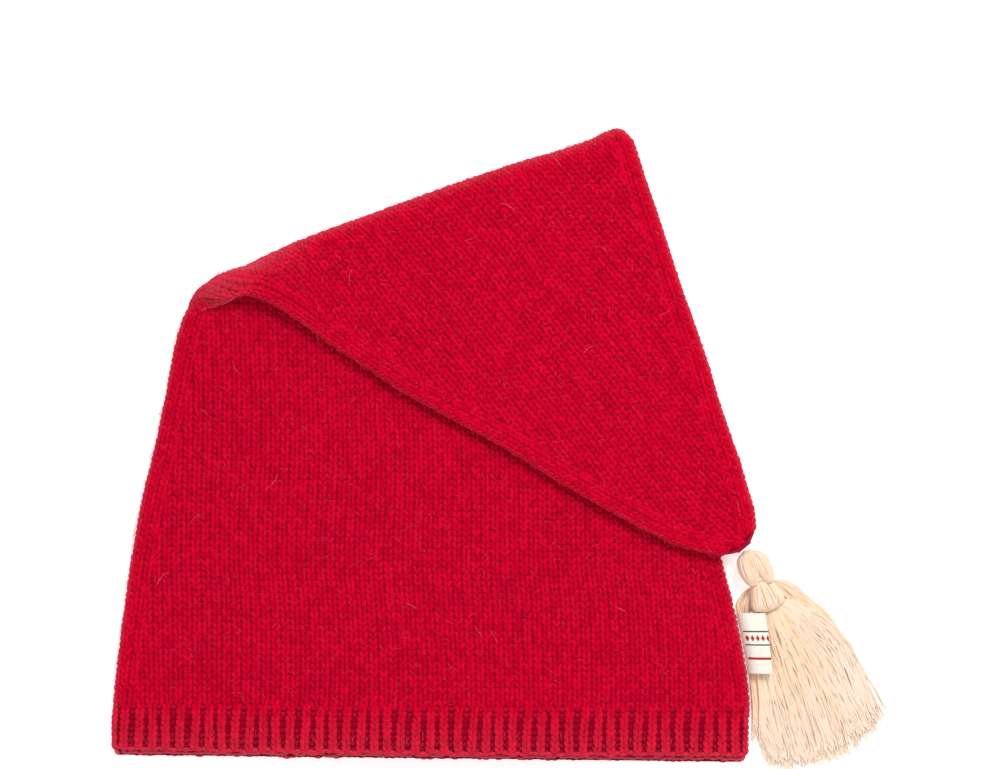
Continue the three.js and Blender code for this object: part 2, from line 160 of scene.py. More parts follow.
# Beside it the top's left edge is drawn back toward the fold, which opens a hollow below: how far,
# and where along the edge it starts, is full and ends
TUCK, TUCK_START, TUCK_FULL, TUCK_END = 5.3, 163.5, (180, 182), 226

# Half width of a panel and how far its middle lies aside, as shares of half the hem width, at
# shares of the cap's length
OUTLINE = [
    (0, .985, .003), (.012, 1.002, .003), (.03, 1.002, .004), (.062, .997, .008),
    (.149, .956, 0), (.193, .928, -.008), (.254, .896, -.004), (.3, .864, 0), (.348, .831, 0),
    (.396, .802, 0), (.433, .769, 0), (.532, .668, 0), (.629, .549, 0), (.67, .503, -.006),
    (.771, .375, -.006), (.836, .3, -.01), (.878, .246, -.014), (.946, .158, -.012),
    (.98, .096, 0), (.991, .066, .003), (1, .028, .004)]
# Sag of the fold line, as shares of the fold's half width and of the fold's whole sag
SAG = [(-1, 1.3), (-.95, .7), (-.91, .6), (-.86, .72), (-.8, .52), (-.73, .32), (-.65, .15),
       (-.5, .04), (0, 0), (.4, .1), (.7, .4), (.88, .42), (.94, .24), (1, .22),
       (1.05, -.1)]


def smooth_table(rows, column=1):
    """A smooth curve through a table's rows that never overshoots them."""
    at = np.array([row[0] for row in rows], float)
    value = np.array([row[column] for row in rows], float)
    chord = np.diff(value) / np.diff(at)
    same_way = chord[:-1] * chord[1:] > 0
    inner = np.zeros(len(chord) - 1)
    inner[same_way] = (2 * chord[:-1] * chord[1:])[same_way] / (chord[:-1] + chord[1:])[same_way]
    slope = np.concatenate([chord[:1], inner, chord[-1:]])

    def curve(x):
        x = np.clip(x, at[0], at[-1])
        i = np.clip(np.searchsorted(at, x, side="right") - 1, 0, len(at) - 2)
        span = at[i + 1] - at[i]
        u = (x - at[i]) / span
        start = (1 + 2 * u) * (1 - u) ** 2 * value[i] + u * (1 - u) ** 2 * span * slope[i]
        end = u * u * (3 - 2 * u) * value[i + 1] + u * u * (u - 1) * span * slope[i + 1]
        return start + end
    return curve


outline_share, aside_share = smooth_table(OUTLINE), smooth_table(OUTLINE, 2)
sag_share = smooth_table(SAG)


def ease(t):
    t = np.clip(t, 0, 1)
    return t * t * (3 - 2 * t)


def lerp(a, b, t):
    return a + (b - a) * t


def unit(vectors):
    return vectors / np.maximum(np.linalg.norm(vectors, axis=-1, keepdims=True), 1e-12)


ROLL = KNIT + EDGE_HOLLOW / 2
FLAT_END = CAP_LENGTH - ROLL


def half_width(up):
    return HEM_WIDTH / 2 * outline_share(up / CAP_LENGTH)


def aside_shift(up):
    return HEM_WIDTH / 2 * aside_share(up / CAP_LENGTH)


def roll_width(up):
    return np.minimum(ROLL, LEAST_ROLL * half_width(up))


def flat_width(up):
    return half_width(up) - roll_width(up)


def shoulder(share):
    """How much a place belongs to the shoulder at the fold's left end, from 0 to 1."""
    return ease((-share - SHOULDER_FROM) / (0.95 - SHOULDER_FROM))


def tuck(share, up, past):
    """How far the top's left edge is drawn back, from its share, its height and past the fold."""
    along = ease((up - TUCK_START) / (TUCK_FULL[0] - TUCK_START))
    along = along * (1 - ease((up - TUCK_FULL[1]) / (TUCK_END - TUCK_FULL[1])))
    return TUCK * along * ease((-share - 0.3) / 0.65) * ease((past + 3) / 15)


def cap_thickness(share, up):
    """The flat cap's thickness: both walls and the hollow between them."""
    below = lerp(MOUTH_HOLLOW, FOLD_HOLLOW, np.clip(up / FOLD_HEIGHT, 0, 1))
    above = lerp(FOLD_HOLLOW, TOP_HOLLOW, ease((up - FOLD_HEIGHT) / SETTLE))
    middle = lerp(EDGE_HOLLOW, np.where(up < FOLD_HEIGHT, below, above),
                  ease((FLAT_END - up) / SETTLE))
    hollow = EDGE_HOLLOW + (middle - EDGE_HOLLOW) * (1 - share * share) ** HOLLOW_SHARPNESS
    puff = SHOULDER_HOLLOW * shoulder(share) * np.exp(-((up - SHOULDER_UP) / SHOULDER_REACH) ** 2)
    return 2 * KNIT + hollow + puff


FOLD_RADIUS = (2 * KNIT + FOLD_HOLLOW + FOLD_SLACK) / 2
FOLD_REACH = math.pi / 2 * FOLD_RADIUS
ALONG = (math.cos(FOLD_TILT), math.sin(FOLD_TILT))
BEYOND = (-ALONG[1], ALONG[0])


def folded(across, up, height):
    """A point of the flat cap where it lies once the top is folded over, in the pattern's mm."""
    share = np.clip(across / flat_width(up), -1, 1)
    thickness = cap_thickness(share, up)
    aside = across + aside_shift(up)
    beyond = aside * BEYOND[0] + (up - FOLD_HEIGHT) * BEYOND[1]
    along = aside * ALONG[0] + (up - FOLD_HEIGHT) * ALONG[1]
    sag = FOLD_SAG * sag_share(across / flat_width(up)) * np.exp(-(beyond / FOLD_SAG_REACH) ** 2)
    past = beyond + sag
    radius = FOLD_RADIUS + SHOULDER_RADIUS * shoulder(share)
    bend = math.pi / 2 * radius
    turn = np.clip((past + bend) / radius, 0, math.pi)
    layer = radius - (height - thickness / 2)
    slipped = along + FOLD_SLIP * turn / math.pi
    over, flat = turn >= math.pi, turn <= 0
    reach = np.where(over, -past, np.where(flat, past, -bend + layer * np.sin(turn)))
    x = slipped * ALONG[0] + (reach - sag) * BEYOND[0]
    y = FOLD_HEIGHT + slipped * ALONG[1] + (reach - sag) * BEYOND[1] + tuck(share, up, past)
    under = cap_thickness(np.clip((x - aside_shift(y)) / flat_width(y), -1, 1), y) + REST_GAP
    lying = lerp(2 * radius, under, ease((past - bend) / SETTLE)) + thickness - height
    bent = thickness / 2 + radius - layer * np.cos(turn)
    z = np.where(over, lying, np.where(flat, height, bent))
    slant = HEM_SLANT / 2 * share * (1 - np.clip(up / HEM_SLANT_REACH, 0, 1)) ** 2
    return np.stack([x, y - np.where(flat, slant, 0), z], axis=-1)


def cap_edge(y):
    """How far right of the pattern's middle the cap's right edge is."""
    return half_width(y) + aside_shift(y)


# The pattern's origin in the frame, from the label's and the back panel's own places
LABEL_FOOT, LABEL_HEIGHT = 29.5, 20.8
label_low, label_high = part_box("side_label")
back_low, back_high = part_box("back_panel")
PATTERN_ORIGIN = np.array([
    label_low.x - (cap_edge(LABEL_FOOT + LABEL_HEIGHT) + SEAM_GAP) * MM,
    back_low.y + HEM_SLANT / 2 * MM,
    0])


def to_frame(points):
    return points * MM + PATTERN_ORIGIN


def arc_width(up):
    """From a panel's middle to its side seam, measured along its outer face."""
    return flat_width(up) + ROLL * math.pi / 2


def cap_point(panel, side, up, out, seam=0):
    """A point of a panel, in the pattern's mm: side is the arc from its middle along its outer
    face, up is the arc from the hem, and out is how far it stands off the CAD panel's face."""
    flat = flat_width(up)
    turn = np.clip((np.abs(side) - flat) / ROLL, 0, math.pi / 2)
    tip = np.clip((up - FLAT_END) / ROLL, 0, math.pi / 2)
    across = np.clip(side, -flat, flat)
    across = across + np.sign(side) * roll_width(up) * (ROLL + out) / ROLL * np.sin(turn)
    height = np.minimum(up, FLAT_END) + (ROLL + out) * np.sin(tip)
    thickness = cap_thickness(np.clip(side / flat, -1, 1), height)
    edge = cap_thickness(np.sign(side), height) / 2
    depth = edge - (edge + out) * np.cos(turn) * np.cos(tip)
    if panel == "back":
        return folded(across, height, np.minimum(depth, edge - seam / 2))
    return folded(across, height, np.maximum(thickness - depth, edge + seam / 2))


def past_fold(side, up):
    """How far beyond the fold line a point is, in the flat pattern."""
    return (side + aside_shift(up)) * BEYOND[0] + (up - FOLD_HEIGHT) * BEYOND[1]


def knuckle(side, up):
    """How much a place belongs to the round knuckle at the fold's left end, from 0 to 1."""
    near = np.exp(-((past_fold(side, up) + 2) / 9) ** 2)
    return shoulder(side / flat_width(up)) * near


# Soft lambswool, brushed after knitting: deep red in the yarn. Where the cloth turns away, and at
# the fold's knuckle, its colour is painted paler and pinker as a painted sheen. The same paler colour
# paints the back hem's shaded edge as painted light, and gives the hem some paler fibre of its own.
# Wool reflects as a matt plastic would, IOR about 1.55.
# Painted sheen: how pale the colour is painted where the cloth turns fully away, and what the fold's
# knuckle adds
MOST_PAINTED_SHEEN, KNUCKLE_PAINTED_SHEEN = 0.67, 0.3
FIBRE_GRAIN = 0.45  # mm, coarser than a real fibre so that it shows
WOOL_SHADES = ("#ae0023", "#c8002a", "#dc0632")
# The paler, pinker colour of the painted sheen, the painted light and the hem's pale fibre
PALE_FIBRE_AND_PAINTED_SHEEN = "#dc5468"


def red_wool(name, shades, bump_depth):
    made, tree, shader = material(
        name, Roughness=0.9, IOR=1.55, Specular_IOR_Level=0.03, Sheen_Weight=0.03,
        Sheen_Roughness=0.4, Sheen_Tint=linear("#ff7a84"))
    place = add(tree, "ShaderNodeTexCoord").outputs["Object"]
    patches = add(tree, "ShaderNodeTexNoise", {"Vector": place, "Scale": 1 / (9 * MM)})
    fibres = add(tree, "ShaderNodeTexNoise", {
        "Vector": place, "Scale": 1 / (FIBRE_GRAIN * MM), "Detail": 3.0, "Roughness": 0.6})
    shade = add(tree, "ShaderNodeAttribute", attribute_name="shade").outputs["Fac"]
    mixed = add(tree, "ShaderNodeMath", {
        0: add(tree, "ShaderNodeMath", {0: shade, 1: 0.45}, operation="MULTIPLY").outputs[0],
        1: add(tree, "ShaderNodeMath", {0: patches.outputs["Fac"], 1: 0.15},
               operation="MULTIPLY").outputs[0]}, operation="ADD")
    grained = add(tree, "ShaderNodeMath", {
        0: add(tree, "ShaderNodeMath", {0: fibres.outputs["Fac"], 1: 1.1, 2: -0.32},
               operation="MULTIPLY_ADD").outputs[0], 1: mixed.outputs[0]}, operation="ADD")
    ramp = add(tree, "ShaderNodeValToRGB", {"Fac": grained.outputs[0]})
    ramp.color_ramp.elements[0].position, ramp.color_ramp.elements[1].position = 0.15, 0.95
    ramp.color_ramp.elements[0].color = linear(shades[0])
    ramp.color_ramp.elements[1].color = linear(shades[2])
    ramp.color_ramp.elements.new(0.5).color = linear(shades[1])
    # The paler colour is mixed in by the painted sheen and pale fibre amount, broken up by the fibres'
    # grain
    bloom_and_sheen_share = add(tree, "ShaderNodeMath", {
        0: add(tree, "ShaderNodeAttribute", attribute_name="bloom_and_sheen").outputs["Fac"],
        1: add(tree, "ShaderNodeMath", {0: fibres.outputs["Fac"], 1: 1.6},
               operation="MULTIPLY").outputs[0]}, operation="MULTIPLY", use_clamp=True)
    with_bloom_and_sheen = add(tree, "ShaderNodeMix", {
        0: bloom_and_sheen_share.outputs[0], 6: ramp.outputs["Color"], 7: linear(PALE_FIBRE_AND_PAINTED_SHEEN)}, data_type="RGBA")
    bump = add(tree, "ShaderNodeBump", {
        "Height": fibres.outputs["Fac"], "Distance": bump_depth * MM, "Strength": 0.6})
    tree.links.new(with_bloom_and_sheen.outputs[2], shader.inputs["Base Color"])
    tree.links.new(bump.outputs["Normal"], shader.inputs["Normal"])
    return made


lambswool = red_wool("red_lambswool", WOOL_SHADES, 0.3)
WALE, COURSE = 3.33, 2.17  # one stitch: its width and height


def purl_wool():
    """The body of the cloth and its inside: the same wool with the purl side's small ridges, in darker
    shades as painted shade for the gaps between stitches and the ribs' valleys.
    """
    # Painted shade: darker shades than the stitches' wool
    made = red_wool("red_lambswool_inside_painted_dark", ("#8e0022", "#ae002a", "#c00a34"), 0.12)
    tree = made.node_tree
    shader = tree.nodes["Principled BSDF"]
    cloth = add(tree, "ShaderNodeSeparateXYZ", {
        0: add(tree, "ShaderNodeAttribute", attribute_name="cloth").outputs["Vector"]})
    waves = []
    for axis, pitch in ((0, WALE), (1, COURSE)):
        phase = add(tree, "ShaderNodeMath", {
            0: cloth.outputs[axis], 1: 2 * math.pi / (pitch * MM)}, operation="MULTIPLY")
        waves.append(add(tree, "ShaderNodeMath", {0: phase.outputs[0]}, operation="SINE"))
    ridge = add(tree, "ShaderNodeMath", {
        0: waves[0].outputs[0], 1: 0.35, 2: waves[1].outputs[0]}, operation="MULTIPLY_ADD")
    bump = add(tree, "ShaderNodeBump", {
        "Height": ridge.outputs[0], "Distance": 0.35 * MM,
        "Normal": shader.inputs["Normal"].links[0].from_socket})
    tree.links.new(bump.outputs["Normal"], shader.inputs["Normal"])
    return made


inside_wool_painted_dark = purl_wool()
WALL_ROLLS = 5
# Columns of the wall, closer at the fold's two ends, where its line bends most
WALL_SHARES = np.concatenate([
    np.linspace(-1, -0.7, 11), np.linspace(-0.7, 0.85, 20)[1:], np.linspace(0.85, 1, 5)[1:]])
STITCH_ROOM, RIB_ROOM = 0.5, 1.6  # how far the wall lies under the stitches' crests
RIB_WALL = 0.4
KNUCKLE_FILL = 0.25  # how much less that is where the brushed fibre hides the grooves
RIB_FADE = 4.5  # the purl wales rise to the surface over this height below the ribs' top


def panel_wall(name, panel, hem):
    """A closed wall: its outer face under the stitches, its inner face, and its four edges."""
    share = np.concatenate([[-1] * WALL_ROLLS, WALL_SHARES, [1] * WALL_ROLLS])
    turns = np.arange(1, WALL_ROLLS + 1) / WALL_ROLLS * math.pi / 2
    turn = np.concatenate([-turns[::-1], np.zeros(len(WALL_SHARES)), turns])
    fold_from, fold_to = FOLD_HEIGHT - 46, FOLD_HEIGHT + 46
    rows = np.concatenate([
        hem + (RIB_HEIGHT - hem) * np.array([0, 0.4, 0.85]), [RIB_HEIGHT + 1.5],
        np.linspace(RIB_HEIGHT + 5, fold_from, 24), np.linspace(fold_from, fold_to, 52)[1:],
        np.linspace(fold_to, FLAT_END, 30)[1:], FLAT_END + turns * ROLL])
    up = rows[:, None] + 0 * share
    side = share * flat_width(up) + turn * ROLL
    ribbed = 1 - ease((up - RIB_HEIGHT + RIB_FADE) / (RIB_FADE + 1.5))
    room = STITCH_ROOM - KNUCKLE_FILL * knuckle(side, up)
    outer = cap_point(panel, side, up, -lerp(room, RIB_ROOM, ribbed), SEAM_GAP)
    inner = cap_point(panel, side, up, -lerp(KNIT, RIB_ROOM + RIB_WALL, ribbed), SEAM_GAP)
    count, width = up.shape
    points = to_frame(np.concatenate([outer.reshape(-1, 3), inner.reshape(-1, 3)]))
    cloth = np.stack([side, up, 0 * up], axis=-1).reshape(-1, 3) * MM
    i, j = np.meshgrid(np.arange(count - 1), np.arange(width - 1), indexing="ij")
    a = (i * width + j).ravel()
    face = np.stack([a, a + 1, a + 1 + width, a + width], axis=1)
    back_face = face[:, ::-1] + count * width
    ring = np.concatenate([
        np.arange(width - 1), np.arange(count - 1) * width + width - 1,
        (count - 1) * width + np.arange(width - 1, 0, -1), np.arange(count - 1, 0, -1) * width])
    after = np.roll(ring, -1)
    edge = np.stack([ring, ring + count * width, after + count * width, after], axis=1)
    faces = np.concatenate([face, back_face, edge])
    if panel == "back":
        faces = faces[:, ::-1]
    made = mesh_piece(name, points, faces, inside_wool_painted_dark)
    made.data.attributes.new("cloth", "FLOAT_VECTOR", "POINT").data.foreach_set(
        "vector", np.concatenate([cloth, cloth]).ravel())
    normals = np.zeros(len(points) * 3)
    made.data.vertices.foreach_get("normal", normals)
    # Painted sheen on the outer face: paler where it turns away and at the knuckle, none on the inner
    # face
    turned = MOST_PAINTED_SHEEN * ease((1 - np.abs(normals[2::3])) / 0.9)
    turned[:side.size] += KNUCKLE_PAINTED_SHEEN * knuckle(side, up).ravel()
    turned[side.size:] = 0
    made.data.attributes.new("bloom_and_sheen", "FLOAT", "POINT").data.foreach_set("value", turned)
    return made


front_wall = panel_wall("front_panel_wall", "front", HEM_STEP)
back_wall = panel_wall("back_panel_wall", "back", 0)

# Stocking stitch
# Every stitch shows as a V of two plump legs of yarn. The field's wales run straight up the
# panel; three wales follow each side seam, and the field narrows against them.
BORDER_WALES, FIELD_OVERLAP = 3, 0.35
LEG_LENGTH, LEG_WIDTH, LEG_THICKNESS, LEG_SLANT = 3.1, 1.84, 1.5, 21
LEG_TILT = math.radians(8)  # a leg's foot lies over the head of the stitch below
BURIED = 0.05  # how far a leg's crest stands off the CAD panel's face
CREST = BURIED - LEG_THICKNESS / 2
LEAST_HEIGHT = LEG_THICKNESS / 2 + 0.17  # of a leg's middle, so that it lies on the table
rng = np.random.default_rng(7)


def leg_tree():
    """Lays a leg of yarn at each point, along its wale, and gives it its own size and shade."""
    tree = bpy.data.node_groups.new("legs_of_yarn", "GeometryNodeTree")
    for label, kind in (
            ("Points", "NodeSocketGeometry"), ("Length", "NodeSocketFloat"),
            ("Width", "NodeSocketFloat"), ("Thickness", "NodeSocketFloat"),
            ("Arch", "NodeSocketFloat"), ("Sides", "NodeSocketInt"), ("Steps", "NodeSocketInt"),
            ("Uneven", "NodeSocketFloat"), ("Seed", "NodeSocketInt"),
            ("Wool", "NodeSocketMaterial")):
        tree.interface.new_socket(name=label, in_out="INPUT", socket_type=kind)
    tree.interface.new_socket(name="Legs", in_out="OUTPUT", socket_type="NodeSocketGeometry")
    given = add(tree, "NodeGroupInput").outputs

    def maths(operation, a, b=0.0, c=0.0):
        return add(tree, "ShaderNodeMath", {0: a, 1: b, 2: c}, operation=operation).outputs[0]

    def vector(x=0.0, y=0.0, z=0.0):
        return add(tree, "ShaderNodeCombineXYZ", {"X": x, "Y": y, "Z": z}).outputs[0]

    half = maths("MULTIPLY", given["Length"], 0.5)
    low = maths("MULTIPLY", given["Arch"], -1.0)
    spine = add(tree, "GeometryNodeCurveQuadraticBezier", {
        "Resolution": given["Steps"], "Start": vector(y=maths("MULTIPLY", half, -1.0), z=low),
        "Middle": vector(z=given["Arch"]), "End": vector(y=half, z=low)})
    run = add(tree, "GeometryNodeSplineParameter").outputs["Factor"]
    off = maths("MULTIPLY_ADD", run, 2.0, -1.0)
    plump = maths("SQRT", maths("MULTIPLY_ADD", maths("MULTIPLY", off, off), -0.86, 1.0))
    ring = add(tree, "GeometryNodeCurvePrimitiveCircle", {
        "Resolution": given["Sides"], "Radius": maths("MULTIPLY", given["Thickness"], 0.5)})
    tube = add(tree, "GeometryNodeCurveToMesh", {
        "Curve": spine.outputs[0], "Profile Curve": ring.outputs[0], "Scale": plump,
        "Fill Caps": True})
    wide = maths("DIVIDE", given["Width"], given["Thickness"])
    leg = add(tree, "GeometryNodeTransform", {
        "Geometry": tube.outputs[0], "Scale": vector(x=wide, y=1.0, z=1.0)})
    wale, face = [
        add(tree, "GeometryNodeInputNamedAttribute", {"Name": label},
            data_type="FLOAT_VECTOR").outputs[0] for label in ("wale", "face")]
    turn = add(tree, "FunctionNodeAxesToRotation", {
        "Primary Axis": wale, "Secondary Axis": face}, primary_axis="Y", secondary_axis="Z")
    size = add(tree, "FunctionNodeRandomValue", {
        2: maths("SUBTRACT", 1.0, given["Uneven"]), 3: maths("ADD", 1.0, given["Uneven"]),
        "Seed": given["Seed"]})
    stretch = add(tree, "GeometryNodeInputNamedAttribute", {"Name": "stretch"},
                  data_type="FLOAT").outputs[0]
    laid = add(tree, "GeometryNodeInstanceOnPoints", {
        "Points": given["Points"], "Instance": leg.outputs[0], "Rotation": turn.outputs[0],
        "Scale": vector(maths("MULTIPLY", size.outputs[1], stretch), size.outputs[1],
                        size.outputs[1])})
    shade = add(tree, "FunctionNodeRandomValue", {
        2: 0.0, 3: 1.0, "Seed": maths("ADD", given["Seed"], 1.0)})
    stored = add(tree, "GeometryNodeStoreNamedAttribute", {
        "Geometry": laid.outputs[0], "Name": "shade", "Value": shade.outputs[1]},
        domain="INSTANCE")
    real = add(tree, "GeometryNodeRealizeInstances", {"Geometry": stored.outputs[0]})
    smooth = add(tree, "GeometryNodeSetShadeSmooth", {"Geometry": real.outputs[0]})
    dressed = add(tree, "GeometryNodeSetMaterial", {
        "Geometry": smooth.outputs[0], "Material": given["Wool"]})
    add(tree, "NodeGroupOutput", {"Legs": dressed.outputs[0]})
    return tree


legs_of_yarn = leg_tree()


def grow(name, tree, points, edges, attributes, values):
    """Runs a node tree over points and keeps what it makes as a plain mesh piece."""
    mesh = bpy.data.meshes.new(name)
    mesh.from_pydata(points.tolist(), np.asarray(edges).tolist(), [])
    for label, value in attributes.items():
        value = np.asarray(value, float)
        kind, key = ("FLOAT", "value") if value.ndim == 1 else ("FLOAT_VECTOR", "vector")
        mesh.attributes.new(label, kind, "POINT").data.foreach_set(key, value.ravel())
    made = bpy.data.objects.new(name, mesh)
    scene.collection.objects.link(made)
    modifier = made.modifiers.new("grow", "NODES")
    modifier.node_group = tree
    sockets = {item.name: item.identifier for item in tree.interface.items_tree
               if item.in_out == "INPUT"}
    for label, value in values.items():
        modifier[sockets[label]] = value
    graph = bpy.context.evaluated_depsgraph_get()
    grown = bpy.data.meshes.new_from_object(
        made.evaluated_get(graph), preserve_all_data_layers=True, depsgraph=graph)
    made.modifiers.clear()
    made.data = grown
    grown.name = name
    for label in [a.name for a in grown.attributes if a.name in ("wale", "face", "stretch")]:
        grown.attributes.remove(grown.attributes[label])
    return made


def on_cloth(panel, side, up, out, lean=0.0):
    """Points on a panel with the directions up the wale, across it and out of the cloth."""
    step = 0.2
    here = cap_point(panel, side, up, out)
    wale = unit(cap_point(panel, side + lean * step, up + step, out)
                - cap_point(panel, side - lean * step, up - step, out))
    across = unit(cap_point(panel, side + step, up, out) - cap_point(panel, side - step, up, out))
    face = unit(np.cross(across, wale)) * (1 if panel == "front" else -1)
    return here, wale, across, face


def spread_out(panel, side, up, out):
    """How far a panel is stretched across its wales."""
    return np.linalg.norm(cap_point(panel, side + 0.5, up, out)
                          - cap_point(panel, side - 0.5, up, out), axis=-1)


def stitch_legs(panel, side, up, lean, depth, wale_width=WALE, slant=LEG_SLANT):
    """Both legs of each stitch: where they lie, along what line, which way is out, and how far
    the cloth is stretched there."""
    laid = []
    for hand in (-1, 1):
        place = side + hand * wale_width / 4 + rng.normal(0, 0.07, side.shape)
        rise = up + rng.normal(0, 0.09, side.shape)
        here, wale, across, face = on_cloth(
            panel, place, rise, depth + rng.normal(0, 0.05, side.shape), lean)
        here[:, 2] = np.maximum(here[:, 2], LEAST_HEIGHT)
        angle = np.radians(slant + rng.normal(0, 5, side.shape))[:, None] * hand
        line = wale * np.cos(angle) + across * np.sin(angle)
        laid.append((here, line * math.cos(LEG_TILT) - face * math.sin(LEG_TILT),
                     face * math.cos(LEG_TILT) + line * math.sin(LEG_TILT),
                     np.clip(spread_out(panel, place, rise, depth), 0.9, 1.6)))
    return [np.concatenate(parts) for parts in zip(*laid)]


def knit(name, legs, length=LEG_LENGTH, width=LEG_WIDTH, thickness=LEG_THICKNESS, arch=0.28,
         sides=5, steps=3, uneven=0.1, seed=1, wool=None, bloom_and_sheen=0.0,
         painted_sheen_share=1.0):
    """A piece of stitches: the wool is painted paler, as a painted sheen, where the cloth turns away,
    in the given share, plus any paler colour given.
    """
    here, wale, face, stretch = legs
    turned = bloom_and_sheen + MOST_PAINTED_SHEEN * painted_sheen_share * ease((1 - np.abs(face[:, 2])) / 0.9)
    return grow(name, legs_of_yarn, to_frame(here), [], {
        "wale": wale, "face": face, "stretch": stretch, "bloom_and_sheen": np.clip(turned, 0, 1)}, {
        "Length": length * MM, "Width": width * MM, "Thickness": thickness * MM,
        "Arch": arch * MM, "Sides": sides, "Steps": steps, "Uneven": uneven, "Seed": seed,
        "Wool": wool or lambswool})


def covered(across, up):
    """How deep under the folded top a point of the front lies, or less than 0 if it is bare."""
    aside = across + aside_shift(up)
    along = aside * ALONG[0] + (up - FOLD_HEIGHT) * ALONG[1] - FOLD_SLIP
    beyond = -(aside * BEYOND[0] + (up - FOLD_HEIGHT) * BEYOND[1])
    top = FOLD_HEIGHT + along * ALONG[1] + beyond * BEYOND[1]
    across_top = along * ALONG[0] + beyond * BEYOND[0] - aside_shift(top)
    inside = half_width(top) - np.abs(across_top)
    inside = inside - tuck(across_top / flat_width(top), top, beyond)
    return np.where(beyond < 0, 99, np.minimum(inside, (CAP_LENGTH - top) * 0.6))


def courses(panel, wale_line):
    """Where a wale's stitches come, one course apart along the cloth's own face."""
    grid = np.arange(RIB_HEIGHT + COURSE * 0.6, CAP_LENGTH, 0.5)
    line = cap_point(panel, wale_line(grid), grid, CREST)
    run = np.concatenate([[0], np.cumsum(np.linalg.norm(np.diff(line, axis=0), axis=1))])
    return np.interp(np.arange(0, run[-1], COURSE), run, grid)


def field_stitches(panel):
    """Stitches of a panel's field: straight wales, narrowed against the border wales."""
    side, up = [], []
    for wale in np.arange(-34, 35) * WALE:
        rows = courses(panel, lambda grid: np.full(len(grid), wale))
        side.append(np.full(len(rows), wale))
        up.append(rows)
    side, up = np.concatenate(side), np.concatenate(up)
    kept = np.abs(side) < arc_width(up) - (BORDER_WALES - FIELD_OVERLAP) * WALE
    side, up = side[kept], up[kept]
    wander = 0.45 * np.sin(up / 31 + side / 47) + 0.25 * np.sin(up / 11 + side / 19)
    ripple = 0.35 * np.sin(side / 14 + up / 52) + 0.2 * np.sin(side / 5.5 + up / 23)
    return side + wander, up + ripple, np.zeros(len(side))


def border_stitches(panel):
    """Stitches of the wales that follow the side seams, and which wale each is in."""
    side, up, lean, order = [], [], [], []
    for hand in (-1, 1):
        for wale in range(BORDER_WALES):
            def line(grid):
                return hand * (arc_width(grid) - (wale + 0.5) * WALE)
            rows = courses(panel, line)
            rows = rows[(rows < FLAT_END) & (line(rows) * hand > 0.8)]
            side.append(line(rows))
            up.append(rows)
            lean.append(line(rows + 0.5) - line(rows - 0.5))
            order.append(np.full(len(rows), wale))
    return [np.concatenate(part) for part in (side, up, lean, order)]


SHOWN_UNDER = 4.2  # mm of the front under the folded top's edge that can still be glimpsed
UNDER_CREST = -LEG_THICKNESS / 2 - 0.16  # the underside rests on the table


def some(parts, kept):
    return [part[kept] for part in parts]


def bare_front(side, up, margin):
    """Which places of the front panel lie on the cap's own front, and aren't well covered."""
    return (covered(side, up) < margin) & (past_fold(side, up) < -2)


front_part, back_part = field_stitches("front"), field_stitches("back")
front_side, back_side = border_stitches("front"), border_stitches("back")
front_field = knit("front_field_stitches", stitch_legs(
    "front", *some(front_part, bare_front(*front_part[:2], SHOWN_UNDER)), CREST), seed=11)
shown = bare_front(*front_side[:2], SHOWN_UNDER)
shown |= (past_fold(*front_side[:2]) > -2) & (front_side[3] == 0)
front_borders = knit("front_border_stitches", stitch_legs(
    "front", *some(front_side[:3], shown), CREST + 0.1), seed=12)
on_top = past_fold(*back_part[:2]) > -FOLD_REACH - 1
top_field = knit("folded_top_stitches", stitch_legs(
    "back", *some(back_part, on_top), CREST), seed=13,
    bloom_and_sheen=np.tile(KNUCKLE_PAINTED_SHEEN * knuckle(*some(back_part[:2], on_top)), 2))
side_on_top = past_fold(*back_side[:2]) > -FOLD_REACH - 1
on_outline = np.tile(back_side[0][side_on_top] > 0, 2)  # the flap's left edge lies on the front
# Painted sheen: full on the flap's left edge, which lies on the front, and a quarter of it on the
# other edge
top_borders = knit("top_border_stitches", stitch_legs(
    "back", *some(back_side[:3], side_on_top), CREST + 0.1), seed=14,
    bloom_and_sheen=np.tile(KNUCKLE_PAINTED_SHEEN * knuckle(*some(back_side[:2], side_on_top)), 2),
    painted_sheen_share=np.where(on_outline, 1, 0.25))
under_borders = knit("underside_border_stitches", stitch_legs(
    "back", *some(back_side[:3], ~side_on_top), UNDER_CREST), sides=4, steps=2, seed=16)
under_field = knit("underside_stitches", stitch_legs(
    "back", *some(back_part, ~on_top), UNDER_CREST), sides=3, steps=2, seed=15)

# Ribbed hem
# One plain wale and one purl wale in turn: the plain wales stand up as ribs of Vs, the purl wales
# sink between them. The cast-on edge is a tight row of loops along the bottom.
RIB_COURSE, RIB_LEG_WIDTH, RIB_LEG_THICKNESS = 2.0, 2.0, 1.7
LOOP_PITCH = 2.15
# Paler colour of the hem's fibre, its valleys and its front edge. The back's edge and the hem's inside
# lie in the front hem's shadow and are painted almost fully pale, as painted light.
HEM_BLOOM, VALLEY_BLOOM, FRONT_EDGE_BLOOM, BACK_EDGE_PAINTED_LIGHT = 0.22, 0.04, 0.3, 0.95


def rib_places(hem, shift):
    rows = np.arange(hem + RIB_COURSE * 0.75, RIB_HEIGHT + 0.3, RIB_COURSE)
    count = int((arc_width(10.0) - 1) / RIB_PITCH)
    ribs = (np.arange(-count, count + 1) + shift) * RIB_PITCH
    side, up = [grid.ravel() for grid in np.meshgrid(ribs, rows)]
    kept = np.abs(side) < arc_width(up) - 0.9
    side, up = side[kept], up[kept]
    wander = 0.22 * np.sin(up / 6 + side / 3.1) + 0.25 * np.sin(side / 7) + 0.17 * np.sin(side * 2.3)
    return side + wander, up


